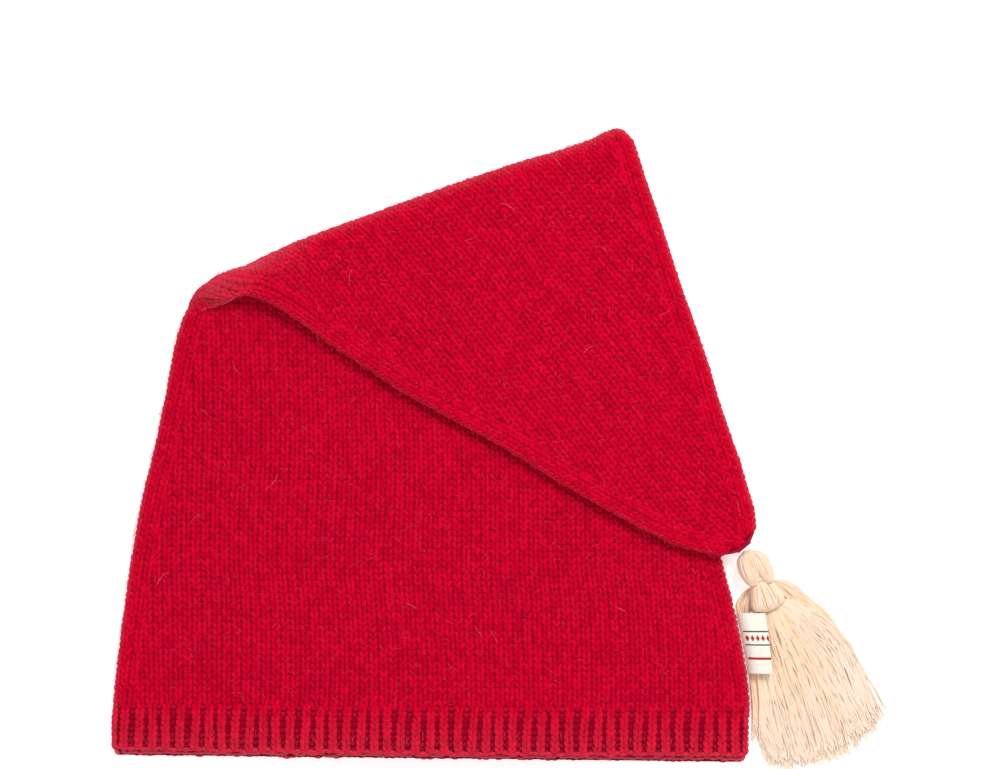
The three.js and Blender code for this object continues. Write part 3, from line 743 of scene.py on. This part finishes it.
def rib_stitches(panel, hem):
    side, up = rib_places(hem, 0.0)
    legs = stitch_legs(panel, side, up, 0.0, -RIB_LEG_THICKNESS / 2 + (
        0.0 if panel == "front" else -0.18), 3.0, 20)
    return legs


def purl_bumps(panel, hem):
    side, up = rib_places(hem, 0.5)
    depth = lerp(-1.85, -0.9, ease((up - RIB_HEIGHT + RIB_FADE) / RIB_FADE))
    here, wale, across, face = on_cloth(panel, side, up, depth)
    return here, across, face, np.ones(len(here))


def hem_loops(panel, hem):
    """The cast-on loops; at the back, a second row of them shows below the front's hem."""
    count = int((arc_width(0.0) - 0.5) / LOOP_PITCH)
    side, up, out = [], [], []
    rows = [(0.5, -1.15)] if panel == "front" else [(0.5, -1.25), (1.1, -2.0), (2.7, -2.1)]
    for order, (row, depth) in enumerate(rows):
        place = (np.arange(-count, count + 1) + 0.5 * (order % 2)) * LOOP_PITCH
        side.append(place[np.abs(place) < arc_width(0.0) - 0.5])
        up.append(hem + row + rng.normal(0, 0.22, side[-1].shape))
        out.append(np.full(len(side[-1]), depth))
    here, wale, across, face = on_cloth(panel, *[np.concatenate(p) for p in (side, up, out)])
    return here, across, face, np.ones(len(here))


def inner_ribs(panel, hem):
    """Ribs of the hem's inside: the wales that are purl outside."""
    side, up = rib_places(hem, 0.5)
    kept = np.abs(side) < flat_width(up)
    here, wale, face, stretch = stitch_legs(
        panel, side[kept], up[kept], 0.0, -KNIT + 0.3, 2.9, 15)
    return here, wale, -face, stretch


hem_pieces = {}
for panel, hem, seed in (("front", HEM_STEP, 21), ("back", 0.0, 31)):
    hem_pieces[panel] = [
        knit(f"{panel}_hem_ribs", rib_stitches(panel, hem), length=3.1, width=RIB_LEG_WIDTH,
             thickness=RIB_LEG_THICKNESS, arch=0.2, seed=seed,
             bloom_and_sheen=np.tile(HEM_BLOOM * (1 - rib_places(hem, 0.0)[1] / RIB_HEIGHT), 2)),
        knit(f"{panel}_hem_purl", purl_bumps(panel, hem), length=2.6, width=2.6,
             thickness=0.8, sides=4, steps=2, seed=seed + 1, wool=inside_wool_painted_dark,
             bloom_and_sheen=VALLEY_BLOOM),
        knit(f"{panel}_hem_edge", hem_loops(panel, hem), length=3.0, width=1.7,
             thickness=1.8, arch=0.1, seed=seed + 2,
             bloom_and_sheen=FRONT_EDGE_BLOOM if panel == "front" else BACK_EDGE_PAINTED_LIGHT),
        # Painted light: the hem's inside is painted pale, as the back's edge is
        knit(f"{panel}_hem_inside", inner_ribs(panel, hem), length=3.1, width=1.6,
             thickness=0.9, arch=0.1, sides=3, steps=2, seed=seed + 3, bloom_and_sheen=BACK_EDGE_PAINTED_LIGHT)]

cap_pieces = [front_wall, back_wall, front_field, front_borders, top_field, top_borders,
              under_borders, under_field, *hem_pieces["front"], *hem_pieces["back"]]

for piece in cap_pieces:
    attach(piece, "root")
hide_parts("front_panel")
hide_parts("back_panel")
heights = np.linspace(0, CAP_LENGTH, 400)
CUT_WIDTH = 2 * float(arc_width(heights).max())
CUT_AREA = 2 * float(arc_width(heights).mean()) * CAP_LENGTH

# Tassel
# A hank of soft cream yarn: its loops make a two-lobed head at the cap's tip, a knot is bound below
# it, and the cut ends spread into a skirt. It is built of its strands, in the pattern's mm.
TASSEL_LEAN = math.radians(20.5)
TASSEL_GAP, TASSEL_ASIDE = 0.8, 0.8
HEAD_LENGTH, HEAD_HEIGHT = 11.8, 9
LOBES = ((-1.9, 0, 8.3), (2.5, 0.9, 7.0))  # each lobe's place, aside and down, and its width
KNOT_LENGTH, KNOT_WIDTH, KNOT_HEIGHT, KNOT_OVERLAP = 12.6, 12.2, 10.4, 2.6
SKIRT_LENGTH, SKIRT_SPREAD = 60.5, math.radians(51)
# A strand leaves the knot at one angle, rounds a shoulder at another and ends at a third
ROOT_FLARE, ROOT_PULL = (math.radians(84), math.radians(72)), 11
SHOULDER_FLARE, SHOULDER_PULL = math.radians(53), 26.5
SKIRT_CROWN, LEFT_CROWN, ROOT_SPREAD, SKIRT_CLEARANCE, FRONT_INSET = 2.4, 7, 3, 0.5, 2.4
ROOT_DROP, LIFT, TIP_LIFT = (-3, 3.8), (0, 3.2), (0, 0.85)
LOCK_THICKNESS = 3.4
LOCK_THICK = smooth_table([(0, .7), (.2, 1), (.45, 1.05), (.75, .85), (.93, .65), (1, .35)])
STRAND = 0.37  # mm, a yarn's radius

tip_point = folded(np.array(0.0), np.array(CAP_LENGTH), np.array(ROLL))
tassel_down = np.array([math.sin(TASSEL_LEAN), -math.cos(TASSEL_LEAN), 0])
tassel_right = np.array([math.cos(TASSEL_LEAN), math.sin(TASSEL_LEAN), 0])
knot_middle = (tip_point + tassel_right * TASSEL_ASIDE + tassel_down
               * (TASSEL_GAP + HEAD_LENGTH + KNOT_LENGTH / 2 - KNOT_OVERLAP))
knot_middle[0] = max(knot_middle[0],
                     cap_edge(knot_middle[1]) + SKIRT_CLEARANCE + KNOT_WIDTH / 2)
knot_middle[2] = KNOT_HEIGHT / 2


def tassel_place(right, down, height):
    """A point from the tassel's own directions: aside, down its axis, and up from the table."""
    spot = (knot_middle[:2] + np.multiply.outer(right, tassel_right[:2])
            + np.multiply.outer(down, tassel_down[:2]))
    return np.concatenate([spot, np.asarray(height)[..., None]], axis=-1)


def yarn_tree():
    """Gives every line of points a round section of its own thickness."""
    tree = bpy.data.node_groups.new("strands_of_yarn", "GeometryNodeTree")
    for label, kind in (("Lines", "NodeSocketGeometry"), ("Sides", "NodeSocketInt"),
                        ("Yarn", "NodeSocketMaterial")):
        tree.interface.new_socket(name=label, in_out="INPUT", socket_type=kind)
    tree.interface.new_socket(name="Strands", in_out="OUTPUT", socket_type="NodeSocketGeometry")
    given = add(tree, "NodeGroupInput").outputs
    lines = add(tree, "GeometryNodeMeshToCurve", {"Mesh": given["Lines"]})
    ring = add(tree, "GeometryNodeCurvePrimitiveCircle", {
        "Resolution": given["Sides"], "Radius": 1.0})
    thick = add(tree, "GeometryNodeInputNamedAttribute", {"Name": "thick"}, data_type="FLOAT")
    tube = add(tree, "GeometryNodeCurveToMesh", {
        "Curve": lines.outputs[0], "Profile Curve": ring.outputs[0],
        "Scale": thick.outputs[0], "Fill Caps": True})
    real = add(tree, "GeometryNodeRealizeInstances", {"Geometry": tube.outputs[0]})
    smooth = add(tree, "GeometryNodeSetShadeSmooth", {"Geometry": real.outputs[0]})
    dressed = add(tree, "GeometryNodeSetMaterial", {
        "Geometry": smooth.outputs[0], "Material": given["Yarn"]})
    add(tree, "NodeGroupOutput", {"Strands": dressed.outputs[0]})
    return tree


strands_of_yarn = yarn_tree()


def spin(name, paths, thick, shade, finish, sides=5):
    """Strands from their paths, an array of strands by points, with their radius and shade."""
    count, length = paths.shape[:2]
    first = np.arange(count * length).reshape(count, length)
    edges = np.stack([first[:, :-1].ravel(), first[:, 1:].ravel()], axis=1)
    made = grow(name, strands_of_yarn, to_frame(paths.reshape(-1, 3)), edges, {
        "thick": (np.broadcast_to(thick, (count, length)) * MM).ravel(),
        "shade": np.broadcast_to(shade, (count, length)).ravel()},
        {"Sides": sides, "Yarn": finish})
    made.data.attributes.remove(made.data.attributes["thick"])
    return made


# Soft acrylic and wool yarn in cream, matt and a little see-through. The warm honey shade between
# the strands is painted shade: the packed yarn that shows in the gaps is coloured honey.
def cream_yarn(name, shades, bump_depth=0.1):
    made, tree, shader = material(
        name, Roughness=0.9, IOR=1.5, Specular_IOR_Level=0.05, Sheen_Weight=0.05,
        Sheen_Roughness=0.5, Sheen_Tint=linear("#fff4e6"), Subsurface_Weight=0.05,
        Subsurface_Scale=0.6 * MM, Subsurface_Radius=(1.0, 0.7, 0.45))
    place = add(tree, "ShaderNodeTexCoord").outputs["Object"]
    fibres = add(tree, "ShaderNodeTexNoise", {
        "Vector": place, "Scale": 1 / (0.3 * MM), "Detail": 2.0})
    shade = add(tree, "ShaderNodeAttribute", attribute_name="shade").outputs["Fac"]
    grained = add(tree, "ShaderNodeMath", {
        0: add(tree, "ShaderNodeMath", {0: fibres.outputs["Fac"], 1: 0.4},
               operation="MULTIPLY").outputs[0],
        1: add(tree, "ShaderNodeMath", {0: shade, 1: 0.6}, operation="MULTIPLY").outputs[0]},
        operation="ADD")
    mix = add(tree, "ShaderNodeMix", {
        0: grained.outputs[0], 6: linear(shades[0]), 7: linear(shades[1])}, data_type="RGBA")
    bump = add(tree, "ShaderNodeBump", {
        "Height": fibres.outputs["Fac"], "Distance": bump_depth * MM, "Strength": 0.5})
    tree.links.new(mix.outputs[2], shader.inputs["Base Color"])
    tree.links.new(bump.outputs["Normal"], shader.inputs["Normal"])
    return made


yarn = cream_yarn("cream_soft_yarn", ("#f6d2a7", "#f6e6dc"))
# Painted shade: the packed yarn inside the tassel is coloured the warm honey of the shade between
# strands
packed_yarn_painted_shade = cream_yarn("cream_packed_yarn_painted_shade", ("#f8d2a8", "#f8dcbe"))


def lump_strands(count, right, down, height, width, length, tall, girths, bow, rng, steps=11):
    """Strands that run down a lump of yarn side by side, from its top to its foot."""
    run = np.linspace(0, 1, steps)
    girth = smooth_table(girths)(run)
    start = (np.arange(count) + rng.uniform(-0.2, 0.2, count)) / count * 2 * math.pi
    swing = rng.normal(0, 0.06, (count, 1)) * np.sin(run * math.pi * rng.uniform(.8, 1.6, (count, 1)))
    turn = start[:, None] + swing
    sunk = STRAND + rng.uniform(0, 0.15, (count, 1))
    across = right * smooth_table(bow)(run) + (width / 2 - sunk) * girth * np.cos(turn)
    rise = height + (tall / 2 - sunk) * girth * np.sin(turn)
    along = down - length / 2 + length * run + 0 * turn
    return tassel_place(across, along, rise)


LOBE_GIRTH = [(0, .3), (.08, .68), (.22, .92), (.45, 1), (.7, .86), (.88, .6), (1, .34)]
LOBE_BOW = [(0, .3), (.2, .8), (.6, 1.05), (1, 1.25)]  # how far apart the lobes are
KNOT_GIRTH = [(0, .34), (.2, .56), (.5, .82), (.78, 1), (.93, .95), (1, .5)]
yarn_rng = np.random.default_rng(23)
head_down = -(KNOT_LENGTH + HEAD_LENGTH) / 2 + KNOT_OVERLAP
head_middle = (knot_middle[2] + tip_point[2]) / 2
lobes = [lump_strands(int(width * 5.2), place, head_down + lower, head_middle, width, HEAD_LENGTH,
                      HEAD_HEIGHT, LOBE_GIRTH, LOBE_BOW, yarn_rng) for place, lower, width in LOBES]
knot = lump_strands(52, 0, 0, knot_middle[2], KNOT_WIDTH, KNOT_LENGTH, KNOT_HEIGHT, KNOT_GIRTH,
                    LOBE_BOW, yarn_rng)
head_strands = np.concatenate([*lobes, knot])
tassel_head = spin("tassel_head_and_knot", head_strands, STRAND,
                   yarn_rng.uniform(0, 1, (len(head_strands), 1)), yarn)


def lump_core(right, down, height, width, length, tall, girths, bow):
    """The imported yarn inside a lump, as one closed round form."""
    run = np.linspace(0, 1, 11)[:, None]
    turn = np.linspace(0, 2 * math.pi, 17)[None, :-1]
    girth = smooth_table(girths)(run) * 0.86
    grid = tassel_place(right * smooth_table(bow)(run) + width / 2 * girth * np.cos(turn), down + (run - .5) * length * .96
                        + 0 * turn, height + tall / 2 * girth * np.sin(turn))
    count, sides = grid.shape[:2]
    a = (np.arange(count - 1)[:, None] * sides + np.arange(sides)).ravel()
    b = (np.arange(count - 1)[:, None] * sides + (np.arange(sides) + 1) % sides).ravel()
    faces = [[int(p), int(q), int(q + sides), int(p + sides)] for p, q in zip(a, b)]
    faces += [list(range(sides))[::-1], [(count - 1) * sides + k for k in range(sides)]]
    return grid.reshape(-1, 3), faces


core_points, core_faces = [], []
lumps = [(place, head_down + lower, head_middle, width, HEAD_LENGTH, HEAD_HEIGHT, LOBE_GIRTH,
          LOBE_BOW) for place, lower, width in LOBES]
lumps.append((0, 0, knot_middle[2], KNOT_WIDTH, KNOT_LENGTH, KNOT_HEIGHT, KNOT_GIRTH, LOBE_BOW))
for values in lumps:
    points, faces = lump_core(*values)
    core_faces += [[corner + sum(len(p) for p in core_points) for corner in face]
                   for face in faces]
    core_points.append(points)
tassel_core = bpy.data.meshes.new("tassel_core")
tassel_core.from_pydata(to_frame(np.concatenate(core_points)).tolist(), [], core_faces)
# Painted shade: the lumps' core is coloured honey, as the shade between their strands
tassel_core.materials.append(packed_yarn_painted_shade)
tassel_core.polygons.foreach_set("use_smooth", [True] * len(tassel_core.polygons))
tassel_core = bpy.data.objects.new("tassel_core", tassel_core)
scene.collection.objects.link(tassel_core)

# Tassel skirt
# Some six hundred cut yarns in two layers, gathered in small clumps, wavy from the skein and
# unevenly cut, with their plies opening at the ends.
CLUMPS, CLUMP_STRANDS, STRAND_POINTS = (11, 13), (22, 30), 17


def skirt_line(share, run, layer, length):
    """Where a strand of a layer runs, aside and down, on a cubic curve from the knot to its end."""
    root = share * ROOT_FLARE[layer]
    bend = share * SHOULDER_FLARE
    tip = share * SKIRT_SPREAD / 2
    start = np.stack([ROOT_SPREAD * share + 0 * run, ROOT_DROP[layer] + 0 * root * run])
    first = start + ROOT_PULL * np.stack([np.sin(root), np.cos(root)])
    second = SHOULDER_PULL * np.stack([np.sin(bend), np.cos(bend)])
    end = length * np.stack([np.sin(tip), np.cos(tip)])
    back = 1 - run
    return (back ** 3 * start + 3 * back ** 2 * run * first + 3 * back * run ** 2 * second
            + run ** 3 * end)


def crown(share):
    """How much shorter the skirt is at its sides than in its middle."""
    return SKIRT_CROWN * share ** 2 + LEFT_CROWN * ease((-share - 0.65) / 0.35)


def skirt_paths(layer, rng):
    """Paths of one layer's strands from the knot to their cut ends."""
    clumps, each = CLUMPS[layer], CLUMP_STRANDS[layer]
    count = clumps * each
    run = np.linspace(0, 1, STRAND_POINTS)[None, :]
    clump = np.repeat(np.arange(clumps), each)
    middle = (2 * clump + 1) / clumps - 1 + np.repeat(rng.normal(0, 0.02, clumps), each)
    within = rng.uniform(-1, 1, count)
    gather = smooth_table([(0, 1.3), (.3, 1.35), (.65, 1.25), (1, 1.4)])(run)
    share = np.clip(middle[:, None] + within[:, None] / clumps * gather, -1.02, 1.02)
    uneven = rng.normal(0, 0.9, count) + np.repeat(rng.normal(0, 1.0, clumps), each)
    length = (SKIRT_LENGTH - crown(share) - SKIRT_CROWN * layer) + uneven[:, None] - 0.8
    path = skirt_line(share, run, layer, length)
    angle = share * SKIRT_SPREAD / 2
    wave = np.repeat(rng.uniform(0, 6.3, clumps), each)[:, None]
    own = rng.uniform(0, 6.3, (3, count, 1))
    pace = rng.uniform(10, 17, (count, 1))
    crimp = rng.uniform(22, 32, (count, 1))
    amount = ease(run * 1.8)
    sway = amount * (0.65 * np.sin(run * 7.5 + wave) + 0.5 * np.sin(run * pace + own[0])
                     + 0.26 * np.sin(run * crimp + own[2]))
    right = path[0] + sway * np.cos(angle)
    down = path[1] - sway * np.sin(angle)
    tall = LOCK_THICKNESS * LOCK_THICK(run)
    level = rng.uniform(-1, 1, count) * np.sqrt(1 - 0.75 * within ** 2)
    lifted = lerp(LIFT[layer], TIP_LIFT[layer], ease(run))
    height = tall / 2 * (1 + 0.42 * level[:, None]) + lifted
    height = height + 0.2 * amount * np.sin(run * pace * 0.8 + own[1])
    spot = tassel_place(right, down, np.maximum(height, STRAND + 0.05))
    edge = cap_edge(np.clip(spot[..., 1], 0, FOLD_HEIGHT)) + SKIRT_CLEARANCE + STRAND
    edge = edge + layer * FRONT_INSET + 0.5 * (1 + within[:, None])
    spot[..., 0] = np.maximum(spot[..., 0], edge)
    return spot, share


skirt, skirt_share = [np.concatenate(part) for part in zip(
    *[skirt_paths(layer, yarn_rng) for layer in (0, 1)])]
taper = smooth_table([(0, .6), (.18, .85), (.45, 1), (.93, .95), (1, .6)])(
    np.linspace(0, 1, STRAND_POINTS))
# Painted shade: the skirt's yarn is more honey in its inner middle, where shade gathers between
# strands, and paler toward the ends and the outer side
pale = (0.3 * ease((np.linspace(0, 1, STRAND_POINTS) - 0.55) / 0.45)
        + 0.25 * ease((skirt_share - 0.1) / 0.8))
tassel_skirt = spin("tassel_skirt", skirt, STRAND * taper * yarn_rng.uniform(
    0.82, 1.15, (len(skirt), 1)), 0.7 * yarn_rng.uniform(0, 1, (len(skirt), 1)) + pale, yarn,
    sides=4)


def skirt_padding():
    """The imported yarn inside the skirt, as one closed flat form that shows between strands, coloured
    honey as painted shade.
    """
    across, along = 85, 22
    share, run = np.meshgrid(np.linspace(-0.95, 0.95, across), np.linspace(0, 0.93, along))
    line = skirt_line(share, run, 0, SKIRT_LENGTH - crown(share) - 2)
    hollow = lerp(0.85 * share ** 2, 0.75 * share ** 4,
                  np.where(share > 0, ease((run - 0.35) / 0.2), 0))
    thick = LOCK_THICK(run) * np.sqrt(1 - hollow)
    ridge = 0.3 * np.cos((share + 1) * CLUMPS[1] * math.pi) * ease(run * 2)
    top = 0.5 + smooth_table([(0, .4), (.14, .6), (.22, .9), (.3, 2), (.36, 3.1), (.42, 3.4), (.7, 2.65), (1, 1.6)])(run) * thick + ridge
    spots = []
    for height in (top, 0.35 + 0 * top):
        spot = tassel_place(line[0], line[1], height)
        edge = cap_edge(np.clip(spot[..., 1], 0, FOLD_HEIGHT)) + SKIRT_CLEARANCE + 0.8
        spot[..., 0] = np.maximum(spot[..., 0], edge + 0.3 * (1 + share))
        spots.append(spot.reshape(-1, 3))
    i, j = np.meshgrid(np.arange(along - 1), np.arange(across - 1), indexing="ij")
    a = (i * across + j).ravel()
    face = np.stack([a, a + across, a + across + 1, a + 1], axis=1)
    ring = np.concatenate([
        np.arange(across - 1), np.arange(along - 1) * across + across - 1,
        (along - 1) * across + np.arange(across - 1, 0, -1), np.arange(along - 1, 0, -1) * across])
    after = np.roll(ring, -1)
    under = across * along
    faces = np.concatenate([face, face[:, ::-1] + under,
                            np.stack([ring, after, after + under, ring + under], axis=1)])
    return mesh_piece("tassel_skirt_padding", to_frame(np.concatenate(spots)), faces, packed_yarn_painted_shade)


skirt_core = skirt_padding()

ENDS = 2
ends_from = np.repeat(skirt[:, -1], ENDS, axis=0)
heading = np.repeat(unit(skirt[:, -1] - skirt[:, -3]), ENDS, axis=0)
spread = unit(heading + yarn_rng.normal(0, 0.28, heading.shape) * [1, 1, 0.5])
reach = yarn_rng.uniform(0.8, 2.4, (len(spread), 1))
bend = yarn_rng.normal(0, 0.35, spread.shape)
frays = np.stack([ends_from - heading * 0.8, ends_from + spread * reach * 0.45,
                  ends_from + spread * reach * 0.8 + bend * 0.5,
                  ends_from + spread * reach + bend], axis=1)
frays[..., 2] = np.maximum(frays[..., 2], 0.35)
frayed_ends = spin("tassel_frayed_ends", frays, np.array([.26, .2, .15, .09]),
                   yarn_rng.uniform(0, 1, (len(frays), 1)), cream_yarn(
                       "cream_frayed_yarn", ("#fde4cc", "#fef0e2"), 0.02), sides=4)

# Tassel bindings
# The same yarn wound round: once between the head and the knot, and once where the skirt leaves
# the knot, three close turns each.
NECK, SKIRT_NECK, SKIRT_NECK_DROP = (7, 6.9), (8.4, 7.5), 4.5
WINDS, WOUND_WIDTH, WOUND_YARN = 3, 1.5, 0.42


def wound(name, down, size):
    turn = np.linspace(0, 2 * math.pi * WINDS, 26 * WINDS + 1)
    along = down + WOUND_WIDTH * (turn / turn[-1] - 0.5)
    path = tassel_place((size[0] / 2) * np.cos(turn), along,
                        knot_middle[2] + (size[1] / 2) * np.sin(turn))[None]
    return spin(name, path, WOUND_YARN, 0.6, yarn, sides=8)


upper_binding = wound("upper_binding_yarn", -KNOT_LENGTH / 2 + KNOT_OVERLAP / 2, NECK)
lower_binding = wound("lower_binding_yarn", SKIRT_NECK_DROP, SKIRT_NECK)
for piece, label in ((tassel_head, "tassel_yarn"), (tassel_core, "tassel_yarn"),
                     (tassel_skirt, "tassel_yarn"), (skirt_core, "tassel_yarn"),
                     (frayed_ends, "tassel_yarn"),
                     (upper_binding, "binding_thread"), (lower_binding, "binding_thread")):
    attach(piece, "root")
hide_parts("tassel")
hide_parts("upper_binding")
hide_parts("lower_binding")

# Label
# A short satin-woven tape, folded once and caught in the right side seam by its two ends. It lies
# up over the tassel. Its woven motif is a plain one of lozenges between two lines.
LABEL_THICKNESS, LABEL_RISE, LABEL_RISE_REACH = 0.7, 4.8, 1.5
LABEL_REACH, LABEL_FOOT_REACH, TAPE = 9.7, 8.1, 0.26


def label_tape():
    rows, columns, turns = 22, 16, 6
    layer = (LABEL_THICKNESS - TAPE) / 2
    points, places = [], []
    for i in range(rows + 1):
        v = i / rows
        y = LABEL_FOOT + LABEL_HEIGHT * v
        reach = lerp(LABEL_FOOT_REACH, LABEL_REACH, v)
        out = np.linspace(0, reach - layer, columns + 1)
        rise = ROLL + LABEL_RISE * (1 - np.exp(-out / LABEL_RISE_REACH))
        rise = rise + 0.3 * np.sin(v * 4.2 + 0.6) * (out / reach) ** 2
        bend = np.linspace(math.pi / 2, -math.pi / 2, turns + 1)[1:-1]
        line = [(o, r + layer, o / reach, 0, 1) for o, r in zip(out, rise)]
        line += [(out[-1] + layer * math.cos(b), rise[-1] + layer * math.sin(b), 1,
                  math.cos(b), math.sin(b)) for b in bend]
        line += [(o, r - layer, -o / reach, 0, -1) for o, r in zip(out[::-1], rise[::-1])]
        for face in (1, -1):
            for o, z, u, nx, nz in line:
                points.append((cap_edge(y) + SEAM_GAP + o + nx * face * TAPE / 2, y,
                               z + nz * face * TAPE / 2))
                places.append((u, v, 0))
    width = len(line)
    outer = np.arange((rows + 1) * 2 * width).reshape(rows + 1, 2, width)
    faces = []
    for i in range(rows):
        for j in range(width - 1):
            a, b, c, d = outer[i, 0, j], outer[i, 0, j + 1], outer[i + 1, 0, j + 1], outer[i + 1, 0, j]
            faces.append((a, b, c, d))
            faces.append((d + width, c + width, b + width, a + width))
    for j in range(width - 1):
        faces.append((outer[0, 0, j + 1], outer[0, 0, j], outer[0, 1, j], outer[0, 1, j + 1]))
        faces.append((outer[-1, 0, j], outer[-1, 0, j + 1], outer[-1, 1, j + 1], outer[-1, 1, j]))
    for i in range(rows):
        faces.append((outer[i, 0, 0], outer[i + 1, 0, 0], outer[i + 1, 1, 0], outer[i, 1, 0]))
        faces.append((outer[i + 1, 0, -1], outer[i, 0, -1], outer[i, 1, -1], outer[i + 1, 1, -1]))
    made = mesh_piece("label_tape", to_frame(np.array(points)), np.array(faces), satin_tape())
    made.data.attributes.new("tape", "FLOAT_VECTOR", "POINT").data.foreach_set(
        "vector", np.array(places, float).ravel())
    made.data.polygons.foreach_set("use_smooth", [False] * len(made.data.polygons))
    return made


# Satin-woven polyester tape: cream, smoother than the wool, with a fine even thread.
def satin_tape():
    made, tree, shader = material("cream_satin_tape", Roughness=0.55, IOR=1.53,
                                  Specular_IOR_Level=0.35, Sheen_Weight=0.1)
    place = add(tree, "ShaderNodeAttribute", attribute_name="tape").outputs["Vector"]
    axes = add(tree, "ShaderNodeSeparateXYZ", {0: place})

    def maths(operation, a, b=0.0, c=0.0):
        return add(tree, "ShaderNodeMath", {0: a, 1: b, 2: c}, operation=operation).outputs[0]

    across = maths("MULTIPLY", axes.outputs[0], LABEL_REACH)
    along = maths("MULTIPLY", axes.outputs[1], LABEL_HEIGHT)
    # A row of four lozenges across the tape, 1.9 mm apart and 1.1 mm high
    cell = maths("ABSOLUTE", maths("SUBTRACT", maths("FRACT", maths(
        "DIVIDE", maths("SUBTRACT", across, 1.0), 1.9)), 0.5))
    high = maths("ABSOLUTE", maths("SUBTRACT", along, 12.2))
    lozenge = maths("LESS_THAN", maths("ADD", maths("MULTIPLY", cell, 1.9),
                                       maths("MULTIPLY", high, 0.62)), 0.72)
    line = maths("LESS_THAN", maths("ABSOLUTE", maths("SUBTRACT", high, 2.3)), 0.24)
    stripe = maths("LESS_THAN", maths("ABSOLUTE", maths("SUBTRACT", along, 5.2)), 0.42)
    front = maths("GREATER_THAN", across, 0.9)
    threads = [maths("SINE", maths("MULTIPLY", axis, 2 * math.pi / 0.32))
               for axis in (across, along)]
    weave = maths("MULTIPLY", threads[0], threads[1])
    ground = add(tree, "ShaderNodeMix", {
        0: maths("MULTIPLY_ADD", weave, 0.5, 0.5), 6: linear("#f8efdf"), 7: linear("#fffaf0")},
        data_type="RGBA").outputs[2]
    for mask, code in ((line, "#2f4a3c"), (lozenge, "#b3202c"), (stripe, "#b3202c")):
        ground = add(tree, "ShaderNodeMix", {
            0: maths("MULTIPLY", mask, front), 6: ground, 7: linear(code)},
            data_type="RGBA").outputs[2]
    bump = add(tree, "ShaderNodeBump", {"Height": weave, "Distance": 0.04 * MM})
    tree.links.new(ground, shader.inputs["Base Color"])
    tree.links.new(bump.outputs["Normal"], shader.inputs["Normal"])
    return made


label = label_tape()
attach(label, "root")
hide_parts("side_label")

# Fuzz
# Fine wool fibres that the brushing raised: most are short and lie close, and a few are long,
# pale and curled. They stand out along the fold and the cap's edges.
FUZZ_COUNT, LONG_FUZZ = 4600, 26
fuzz_rng = np.random.default_rng(41)


def fuzz(name, count, reach, width, finish, lift):
    """Curved fibres from points spread over all of the shown cloth."""
    roots, faces, wales = [], [], []
    for panel, part in (("front", front_part), ("front", front_side), ("back", back_part),
                        ("back", back_side)):
        side, up = part[0], part[1]
        shown = bare_front(side, up, 4) if panel == "front" else past_fold(side, up) > -FOLD_REACH
        side, up = side[shown], up[shown]
        here, wale, across, face = on_cloth(
            panel, side + fuzz_rng.uniform(-1.6, 1.6, side.shape),
            up + fuzz_rng.uniform(-1, 1, side.shape), 0.0)
        roots.append(here)
        faces.append(face)
        wales.append(wale)
    roots, faces, wales = [np.concatenate(p) for p in (roots, faces, wales)]
    chance = 0.35 + ease((1 - np.abs(faces[:, 2])) / 0.7)
    pick = fuzz_rng.choice(len(roots), count, p=chance / chance.sum())
    root, face, wale = roots[pick], faces[pick], wales[pick]
    across = np.cross(face, wale)
    turn = fuzz_rng.uniform(0, 2 * math.pi, (count, 1))
    flat = wale * np.cos(turn) + across * np.sin(turn)
    curl = wale * -np.sin(turn) + across * np.cos(turn)
    long = fuzz_rng.uniform(reach[0], reach[1], (count, 1))
    hook = fuzz_rng.normal(0, 0.4, (count, 1))
    run = np.linspace(0, 1, 4)
    paths = np.stack([
        root + long * (flat * t + curl * hook * t * t)
        + face * (lift * long * np.sin(t * math.pi * 0.7) - 0.3 * (1 - t)) for t in run], axis=1)
    paths[..., 2] = np.maximum(paths[..., 2], 0.1)
    return spin(name, paths, width * np.array([1, 1, .8, .35]),
                fuzz_rng.uniform(0, 1, (count, 1)), finish, sides=3)


fibre_wool = red_wool("raised_wool_fibre", ("#c01436", "#d43450", "#e05a70"), 0.01)
short_fuzz = fuzz("short_fuzz", FUZZ_COUNT, (1.0, 2.6), 0.05, fibre_wool, 0.32)
long_fuzz = fuzz("long_pale_fuzz", LONG_FUZZ, (3.0, 6.5), 0.05,
                 red_wool("pale_wool_fibre", ("#d86070", "#e07c86", "#e89aa0"), 0.01), 0.2)
for piece in (short_fuzz, long_fuzz):
    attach(piece, "root")
